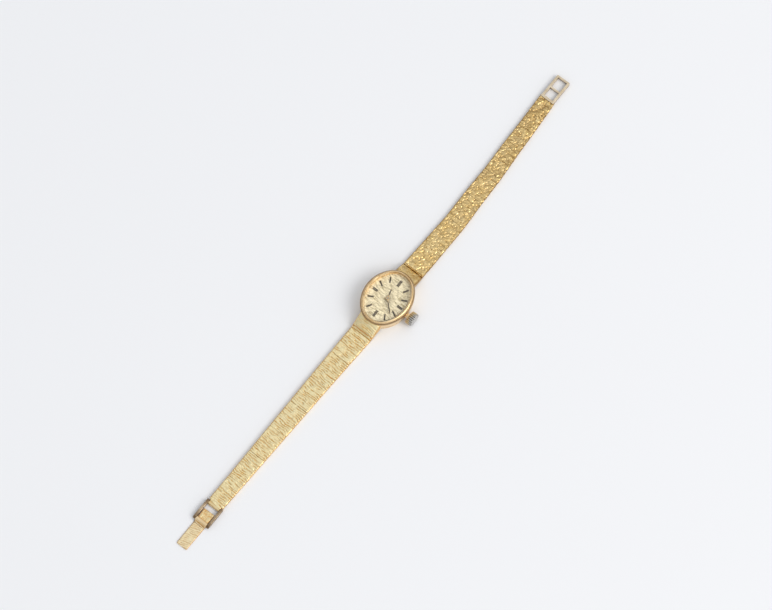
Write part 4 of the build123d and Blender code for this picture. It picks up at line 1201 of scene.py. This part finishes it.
@dataclass
class Head:
    """The case with its bezel, crystal, dial, hands and crown."""

    nodes: dict[str, Piece]
    sides: int = 448
    teeth: int = 112
    tooth_depth: float = 0.1
    tooth_start: float = 0.45
    mill_width: float = 0.34
    mill_top: float = 5.3
    bezel_half: Point = (7.44, 9.1)
    bezel_bottom: float = 4.6
    bezel_top: float = 5.9
    seat_half: Point = (6.44, 8.54)
    seat_height: float = 5.0
    opening_half: Point = (6.13, 8.24)
    crystal_under: float = 5.62
    crystal_top: float = 6.19
    dial_half: Point = (6.41, 8.51)
    dial_top: float = 3.9
    crown_flutes: int = 20
    flute_depth: float = 0.2
    flute_half: float = 0.34
    crown_radius: float = 2.05
    crown_start: float = 8.1
    crown_end: float = 10.3
    crown_height: float = 2.2

    def bezel(self) -> Piece:
        """The bezel: a fine milled edge, a thin groove and a polished round up to the crystal.

        Returns:
            The bezel, in millimetres.
        """
        bottom, mill, top, width = self.bezel_bottom, self.mill_top, self.bezel_top, self.mill_width
        levels = [
            (0.12, bottom + 0.005), (0.0, bottom + 0.1), (0.0, mill - 0.2), (0.06, mill - 0.06),
            (width - 0.04, mill + 0.1), (width, mill + 0.04), (width + 0.05, mill + 0.06),
        ]
        for number in range(9):
            turn = radians(12 + 78 * number / 8)
            inward = width + 0.05 + 0.5 * (1.0 - cos(turn))
            levels.append((inward, mill + 0.08 + (top - mill - 0.09) * sin(turn)))
        rings = [
            Ring(6.42, 8.52, bottom - 0.62),
            Ring(6.43, 8.53, bottom),
            *insets(self.bezel_half, levels),
            *insets(self.seat_half, ((-0.03, top - 0.03), (0.0, top - 0.12), (0.0, self.seat_height))),
            *insets(self.opening_half, ((0.0, self.seat_height - 0.01), (0.0, self.dial_top + 0.02))),
            Ring(6.40, 8.50, self.dial_top + 0.06),
        ]
        piece = Loft(rings, self.sides, torus=True).build()
        self.mill(piece)
        return piece

    def mill(self, piece: Piece) -> None:
        """Cut the fine teeth round the bezel's outer edge, and mark how dark each part is: the teeth and
        the groove most, the rest of the milled edge a little.

        Args:
            piece: the bezel.
        """
        dark_marks = []
        for vertex in piece.data.vertices:
            across, along, height = vertex.co
            turn = atan2(along / self.bezel_half[1], across / self.bezel_half[0])
            reach = hypot(across, along)
            inset = hypot(*OVAL.reach(*self.bezel_half, turn)) - reach
            phase = (turn / (2 * pi) * self.teeth) % 1.0
            outside = inset < self.mill_width - 0.08
            milled = outside and self.bezel_bottom + 0.02 < height < self.mill_top + 0.06
            darkening = 0.0
            if milled and phase > self.tooth_start:
                shrink = 1.0 - self.tooth_depth / reach
                vertex.co = (across * shrink, along * shrink, height)
                vertex.co.z -= 0.5 * self.tooth_depth
                darkening = 1.0
            elif abs(inset - self.mill_width) < 0.045 and height > self.mill_top - 0.1:
                darkening = 0.9
            elif milled:
                darkening = 0.25
            dark_marks.append(darkening)
        Bench.mark(piece, dark_marks)

    def crystal(self) -> Piece:
        """The low domed crystal, hollow below like the dome above.

        Returns:
            The crystal, in millimetres.
        """
        under, top = self.crystal_under, self.crystal_top
        width, length = (half - 0.02 for half in self.seat_half)
        rings = [Ring(0.02, 0.02, under)]
        for share in (number / 8 for number in range(1, 9)):
            rings.append(Ring((width - 0.5) * share, (length - 0.5) * share, under - 0.34 * share**3))
        rings += insets((width, length), ((0.42, 5.02), (0.0, 5.01), (0.0, 5.84), (0.06, 5.91)))
        for share in (number / 10 for number in range(9, 0, -1)):
            rings.append(Ring(width * share, length * share, top - 0.28 * share**3))
        rings.append(Ring(0.02, 0.02, top))
        return Loft(rings, 160).build()

    def dial(self) -> Piece:
        """The dial plate with its softly rounded rim and centre hole.

        Returns:
            The dial, in millimetres.
        """
        top = self.dial_top
        rings = [
            Ring(0.5, 0.5, top - 0.25),
            *insets(self.dial_half, ((0.0, top - 0.25), (0.0, top - 0.04), (0.04, top))),
            Ring(4.0, 5.4, top),
            Ring(2.0, 2.6, top),
            *rounds(((0.55, top), (0.5, top - 0.04))),
        ]
        return Loft(rings, 160, torus=True).build()

    def crown(self) -> Piece:
        """The fluted crown, with rounded flutes and a domed end.

        Returns:
            The crown, in millimetres.
        """
        radius = self.crown_radius
        length = self.crown_end - self.crown_start
        levels = (
            (0.36, 1.7), (0.36, 0.5), (1.0, 0.5), (1.0, 0.0), (radius - 0.2, 0.0), (radius - 0.05, 0.06),
            (radius, 0.2), (radius, length - 0.5), (radius - 0.05, length - 0.33),
            (radius - 0.22, length - 0.18), (radius - 0.45, length - 0.11),
            (radius - 0.9, length - 0.05), (0.4, length - 0.01),
        )
        piece = Loft(rounds(levels), 240).build()
        dark_marks = []
        for vertex in piece.data.vertices:
            reach = hypot(vertex.co.x, vertex.co.y)
            depth = ease(reach, radius - 0.3, radius - 0.04)
            phase = (atan2(vertex.co.y, vertex.co.x) / (2 * pi) * self.crown_flutes) % 1.0
            flute = clamp(1.0 - abs(phase - 0.5) / self.flute_half) ** 0.6
            shrink = 1.0 - self.flute_depth * depth * flute / max(reach, 0.1)
            vertex.co.x *= shrink
            vertex.co.y *= shrink
            dark_marks.append(depth * flute)
        Bench.mark(piece, dark_marks)
        Bench.lay(piece, (self.crown_start, 0.0, self.crown_height))
        return piece

    def dress(self, finishes: Finishes) -> None:
        """Build the head's visible pieces, and soften the copies of the CAD nodes.

        Args:
            finishes: the watch's materials by name.
        """
        for node, make, name, finish, body, slot, angle in (
            ("bezel", self.bezel, "bezel_domed", "rose_gold", "case", "gold_bezel", 35.0),
            ("crystal", self.crystal, "crystal_domed", "crystal", "case", "clear_crystal", 40.0),
            ("dial", self.dial, "dial_linen", "dial", "case", "dial_paint", 40.0),
            ("crown", self.crown, "crown_fluted", "crown", "crown", "crown_metal", 50.0),
        ):
            Bench.settle(make(), name, finishes[finish], body, slot, (node,), angle)
        for node, name, finish, body, slot, width in (
            ("case_middle", "case_middle_polished", "case_gold", "case", "gold_case", 0.05),
            ("case_back", "case_back_polished", "case_gold", "case", "gold_case", 0.05),
            ("crown_tube", "crown_tube_polished", "case_gold", "case", "gold_case", 0.04),
            ("hour_markers", "hour_bars", "enamel", "case", "marker_black", 0.025),
            ("hour_hand", "hour_hand_polished", "hour_hand", "hour", "hand_gold", 0.012),
            ("minute_hand", "minute_hand_polished", "minute_hand", "minute", "hand_gold", 0.012),
        ):
            piece = Bench.refined(self.nodes[node], width)
            Bench.settle(piece, name, finishes[finish], body, slot, (node,))


@dataclass
class Clasp:
    """The ladder at one end and the fold-over clasp at the other."""

    nodes: dict[str, Piece]
    shift: float = -1.1
    knuckle_place: float = 84.8
    knuckle_height: float = 0.72
    knuckle_inner: float = 0.43
    knuckle_outer: float = 0.75
    knuckle_width: float = 3.9
    shoulder_length: float = 0.6
    shoulder_width: float = 3.75
    plate_width: float = 3.6
    plate_length: float = 7.8
    plate_thickness: float = 0.4
    plate_step: float = 0.12
    plate_relief: float = 0.12
    plate_edge_drop: float = 0.06
    nose_length: float = 3.2

    def knuckle(self) -> Piece:
        """The smooth tube curled round the frame's bar, kept above the table.

        Returns:
            The tube, in millimetres.
        """
        place = (self.shift, -self.knuckle_place, self.knuckle_height)
        piece = tube(self.knuckle_outer, self.knuckle_inner, self.knuckle_width, 64, place)
        for vertex in piece.data.vertices:
            vertex.co.z = max(vertex.co.z, 0.0)
        return piece

    def bark_plate(
        self,
        start: float,
        end: float,
        bottom: float,
        top: float,
        half_at: Callable[[float], float],
        weave: Weave,
    ) -> Piece:
        """A thin plate with the bracelet's bark on its top.

        Args:
            start: where it starts, in millimetres from the dial's centre towards six.
            end: where it ends.
            bottom: the height of its underside.
            top: the height of its highest ridges.
            half_at: its half width at a place along it.
            weave: the look of its bark.

        Returns:
            The plate, in millimetres.
        """
        count = max(12, int((end - start) / self.plate_step))
        level = [(start + (end - start) * n / count, top) for n in range(count + 1)]
        near = [(start + 0.03, bottom), (start, bottom + 0.05)]
        far = [(end, bottom + 0.05), (end - 0.03, bottom)]
        piece = Sweep([*near, *level, *far], 30).build()
        bark = Bark(weave, 0.1)
        dark_marks = []
        for vertex in piece.data.vertices:
            lean, along, height = vertex.co
            across = lean * half_at(along)
            raised = ease(height, top - 0.05, top)
            raw = bark.height(across, -along * 1.15)
            edge = ease(abs(lean), 0.88, 1.0)
            rim = ease(abs(along - (start + end) / 2), (end - start) / 2 - 0.15, (end - start) / 2)
            fall = raised * (self.plate_relief * raw - self.plate_edge_drop * max(edge, rim))
            vertex.co = (self.shift + across, -along, height + fall)
            # Painted shade: darker on the side edges and in the bark's furrows, and dark on the sides and
            # underside.
            dark_marks.append(clamp((0.7 * edge - 0.8 * raw) * raised + 0.7 * (1.0 - raised)))
        Bench.mark(piece, dark_marks)
        Bench.outward(piece)
        return piece

    def leaf_half(self, along: float) -> float:
        """The tongue's half width: full at the knuckle, then the shoulder, then the plate.

        Args:
            along: millimetres from the dial's centre, towards six.

        Returns:
            Half the tongue's width there.
        """
        shoulder_end = self.knuckle_place + self.knuckle_outer + self.shoulder_length
        if along > shoulder_end + 0.05:
            tip = shoulder_end + self.plate_length
            return self.plate_width / 2 - 0.15 * ease(along, tip - 0.4, tip)
        share = clamp((shoulder_end - along) / self.shoulder_length)
        return blend(self.shoulder_width, self.knuckle_width, share) / 2

    def tongue(self, finishes: Finishes) -> None:
        """Build the tongue: its knuckle, shoulder, leaf and nose.

        Args:
            finishes: the watch's materials by name.
        """
        home = ("clasp_tongue", "gold_fittings")
        soft = finishes["soft_gold"]
        Bench.settle(self.knuckle(), "tongue_knuckle", soft, *home, ("clasp_tongue",))
        shoulder_end = self.knuckle_place + self.knuckle_outer + self.shoulder_length
        nose_end = self.knuckle_place - self.knuckle_inner
        thickness, middle = self.plate_thickness, self.knuckle_height
        ends = (self.knuckle_place + 0.3, shoulder_end + 0.02, 0.0, thickness + 0.02)
        shoulder = self.bark_plate(*ends, self.leaf_half, Weave.WAVY)
        Bench.settle(shoulder, "tongue_shoulder", soft, *home, angle=60.0)
        ends = (shoulder_end, shoulder_end + self.plate_length, 0.0, thickness)
        leaf = self.bark_plate(*ends, self.leaf_half, Weave.SLANTED)
        Bench.settle(leaf, "tongue_leaf", finishes["leaf_bark"], *home, angle=60.0)
        heights = (middle - thickness / 2, middle + thickness / 2)
        ends = (nose_end - self.nose_length, nose_end - 0.02, *heights)
        nose = self.bark_plate(*ends, lambda along: self.plate_width / 2, Weave.CRUMPLED)
        Bench.settle(nose, "tongue_nose", finishes["lower_bark"], *home, angle=60.0)

    def dress(self, finishes: Finishes) -> None:
        """Build the clasp's and the ladder's pieces and give them their finishes.

        Args:
            finishes: the watch's materials by name.
        """
        self.tongue(finishes)
        for node, body, finish, width in (
            ("clasp_frame", "clasp", "shaded_fitting_gold", 0.06),
            ("clasp_hinge_pin", "clasp", "shaded_fitting_gold", 0.05),
            ("ladder", "ladder", "ladder_gold", 0.16),
        ):
            piece = Bench.refined(self.nodes[node], width, 3)
            # Painted shade: each piece is darkened below its top face, and only the top is left light.
            heights = [vertex.co.z for vertex in piece.data.vertices]
            top = max(heights)
            Bench.mark(piece, [0.8 * ease(top - height, 0.01, width * 1.2) for height in heights])
            Bench.settle(piece, f"{node}_polished", finishes[finish], body, "gold_fittings", (node,))


@dataclass
class Movement:
    """The hand-wound movement inside the case, which keeps its CAD shapes."""

    nodes: dict[str, Piece]
    groups: Sequence[tuple[str, Sequence[str]]] = (
        ("nickel", ("mainplate", "barrel_bridge", "train_bridge", "balance_cock", "movement_ring")),
        ("brass", (
            "centre_wheel", "third_wheel", "fourth_wheel", "mainspring_barrel", "balance_wheel",
            "minute_wheel", "hour_wheel",
        )),
        ("blued", ("mainspring", "hairspring")),
        ("steel", (
            "escape_wheel", "barrel_arbor", "pallet_fork", "cannon_pinion", "winding_stem", "clutch_wheel",
            "winding_pinion", "setting_lever", "crown_wheel", "ratchet_wheel", "click", "bridge_screws",
        )),
        ("ruby", ("jewels",)),
    )

    def dress(self, finishes: Finishes) -> None:
        """Give every inner piece its metal.

        Args:
            finishes: the watch's materials by name.
        """
        for finish, names in self.groups:
            for name in names:
                materials = self.nodes[name].data.materials
                materials.clear()
                materials.append(finishes[finish])
                log.info("%s in %s", name, finish)


@dataclass
class Studio:
    """The pale table, the soft light and the camera at the photographed view."""

    azimuth: float = 38.25
    elevation: float = 73.0
    distance: float = 1.0
    lens: float = 159.31
    target: tuple[float, float, float] = (0.11, -0.84, 0.0)
    table_size: float = 6.0
    table_height: float = -0.00002
    sky_colour: Colour = (0.94, 0.965, 1.0)
    sky_strength: Point = (0.435, 1.01)
    lamp_colour: Colour = (1.0, 0.97, 0.93)
    lamp_power: float = 9.0
    lamp_size: float = 1.0
    lamp_turn: float = -22.0
    lamp_elevation: float = 48.0
    lamp_distance: float = 1.6

    def table(self) -> None:
        """The table top, just under the watch."""
        Bench.clear()
        bpy.ops.mesh.primitive_plane_add(size=self.table_size)
        table = bpy.context.object
        table.data.transform(Matrix.Translation((0.0, 0.0, self.table_height)))
        table.name = "table_top"
        table.data.materials.append(PaleTable("pale_table").build())

    def light_direction(self) -> Vector:
        """The direction that the soft lamp stands in, from the watch.

        Returns:
            The direction, one unit long.
        """
        turn = radians(self.azimuth + self.lamp_turn)
        rise = radians(self.lamp_elevation)
        return Vector((cos(turn) * cos(rise), sin(turn) * cos(rise), sin(rise)))

    def sky(self) -> None:
        """An even sky, a little brighter on the lamp's side."""
        world = bpy.data.worlds.new("studio_sky")
        bpy.context.scene.world = world
        world.use_nodes = True
        board = Board(world.node_tree)
        place = board.add("ShaderNodeTexCoord").outputs["Generated"]
        facing = {0: place, 1: self.light_direction()}
        dot = board.add("ShaderNodeVectorMath", facing, operation="DOT_PRODUCT")
        strength = board.span(dot.outputs["Value"], (-0.3, 1.0), self.sky_strength)
        glow = {"Color": (*self.sky_colour, 1.0), "Strength": strength}
        background = board.add("ShaderNodeBackground", glow)
        board.add("ShaderNodeOutputWorld", {0: background.outputs[0]})

    def stand(self, data: bpy.types.ID, place: Vector, facing: Vector, axis: str) -> Piece:
        """Put a lamp or a camera in its place, with one of its axes turned to a direction.

        Args:
            data: the lamp or the camera.
            place: where it stands, in metres.
            facing: the direction.
            axis: the axis that is turned to it.

        Returns:
            The object that holds it.
        """
        holder = bpy.data.objects.new(data.name, data)
        bpy.context.scene.collection.objects.link(holder)
        holder.location = place
        holder.rotation_euler = facing.to_track_quat(axis, "Y").to_euler()
        return holder

    def lamp(self) -> None:
        """One large soft lamp on the photograph's lower right."""
        lamp = bpy.data.lights.new("soft_lamp", "AREA")
        lamp.shape = "DISK"
        lamp.size = self.lamp_size
        lamp.energy = self.lamp_power
        lamp.color = self.lamp_colour
        direction = self.light_direction()
        self.stand(lamp, direction * self.lamp_distance, direction, "Z")

    def camera(self) -> None:
        """The camera, looking down at the watch as the photograph does."""
        turn, rise = radians(self.azimuth), radians(self.elevation)
        forward = Vector((-sin(turn) * cos(rise), cos(turn) * cos(rise), -sin(rise)))
        camera = bpy.data.cameras.new("portrait")
        camera.lens = self.lens
        camera.sensor_width = 36.0
        camera.clip_start = 0.01
        camera.clip_end = 20.0
        place = Vector(self.target) * MM - forward * self.distance
        bpy.context.scene.camera = self.stand(camera, place, forward, "-Z")

    def dress(self) -> None:
        """Set up the table, the light and the camera."""
        self.table()
        self.sky()
        self.lamp()
        self.camera()
        bpy.context.scene.view_settings.view_transform = "Standard"


def mixed_finishes() -> Finishes:
    """Every finish on the watch, by name.

    Returns:
        The materials.
    """
    recipes = {
        "upper_bark": BarkGold("upper_bark_gold", roughness=(0.15, 0.3)),
        "lower_bark": BarkGold(
            "lower_bark_gold", (1.0, 0.87, 0.52), (1.0, 0.82, 0.45), (0.72, 0.40, 0.13), (0.24, 0.42), 0.06
        ),
        "leaf_bark": BarkGold(
            "leaf_bark_gold", (1.0, 0.85, 0.54), (1.0, 0.80, 0.47), (0.66, 0.40, 0.18), (0.26, 0.44), 0.05
        ),
        "rose_gold": PolishedGold("bezel_rose_gold", (0.90, 0.67, 0.38), (0.72, 0.49, 0.25), (0.18, 0.32)),
        "case_gold": PolishedGold("case_gold", (0.93, 0.74, 0.46), (0.86, 0.62, 0.34), (0.12, 0.24)),
        # Painted shade: a darker copy of the gold, for the dark surroundings that the frame's upright
        # faces reflect.
        "shaded_fitting_gold": PolishedGold("shaded_fitting_gold", (0.72, 0.56, 0.38), (0.46, 0.33, 0.20), (0.14, 0.3)),
        "ladder_gold": PolishedGold("ladder_gold", (0.90, 0.76, 0.56), (0.70, 0.55, 0.36), (0.2, 0.34)),
        "bar_gold": PolishedGold("end_bar_gold", (0.96, 0.78, 0.46), (0.88, 0.66, 0.34), (0.12, 0.24)),
        "soft_gold": PolishedGold("tongue_gold", (1.0, 0.80, 0.50), (0.94, 0.70, 0.40), (0.3, 0.44)),
        "crown": WornCrown("worn_crown"),
        "dial": LinenDial("linen_dial"),
        "enamel": BlackEnamel("hour_bar_enamel"),
        "hour_hand": PaintedHand("hour_hand_gold", 4.28, 0.95),
        "minute_hand": PaintedHand("minute_hand_gold", 4.55, 1.3),
        "crystal": ClearCrystal("clear_crystal"),
        "nickel": WorkedMetal("nickel_plate", (0.82, 0.80, 0.76), (0.58, 0.56, 0.52)),
        "brass": WorkedMetal("wheel_brass", (0.90, 0.70, 0.36), (0.66, 0.46, 0.20)),
        "steel": WorkedMetal("polished_steel", (0.74, 0.75, 0.77), (0.50, 0.51, 0.53), (0.12, 0.24)),
        "blued": WorkedMetal("blued_spring_steel", (0.18, 0.26, 0.52), (0.08, 0.12, 0.30), (0.14, 0.26)),
        "ruby": Ruby("red_jewel"),
    }
    return {name: recipe.build() for name, recipe in recipes.items()}


def main() -> None:
    """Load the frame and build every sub-assembly in order."""
    logging.basicConfig(level=logging.INFO, format="%(message)s")
    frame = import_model()
    finishes = mixed_finishes()
    Bracelet().dress(finishes)
    for part in (Head, Clasp, Movement):
        part(frame["nodes"]).dress(finishes)
    Studio().dress()


if __name__ == "__main__":
    main()
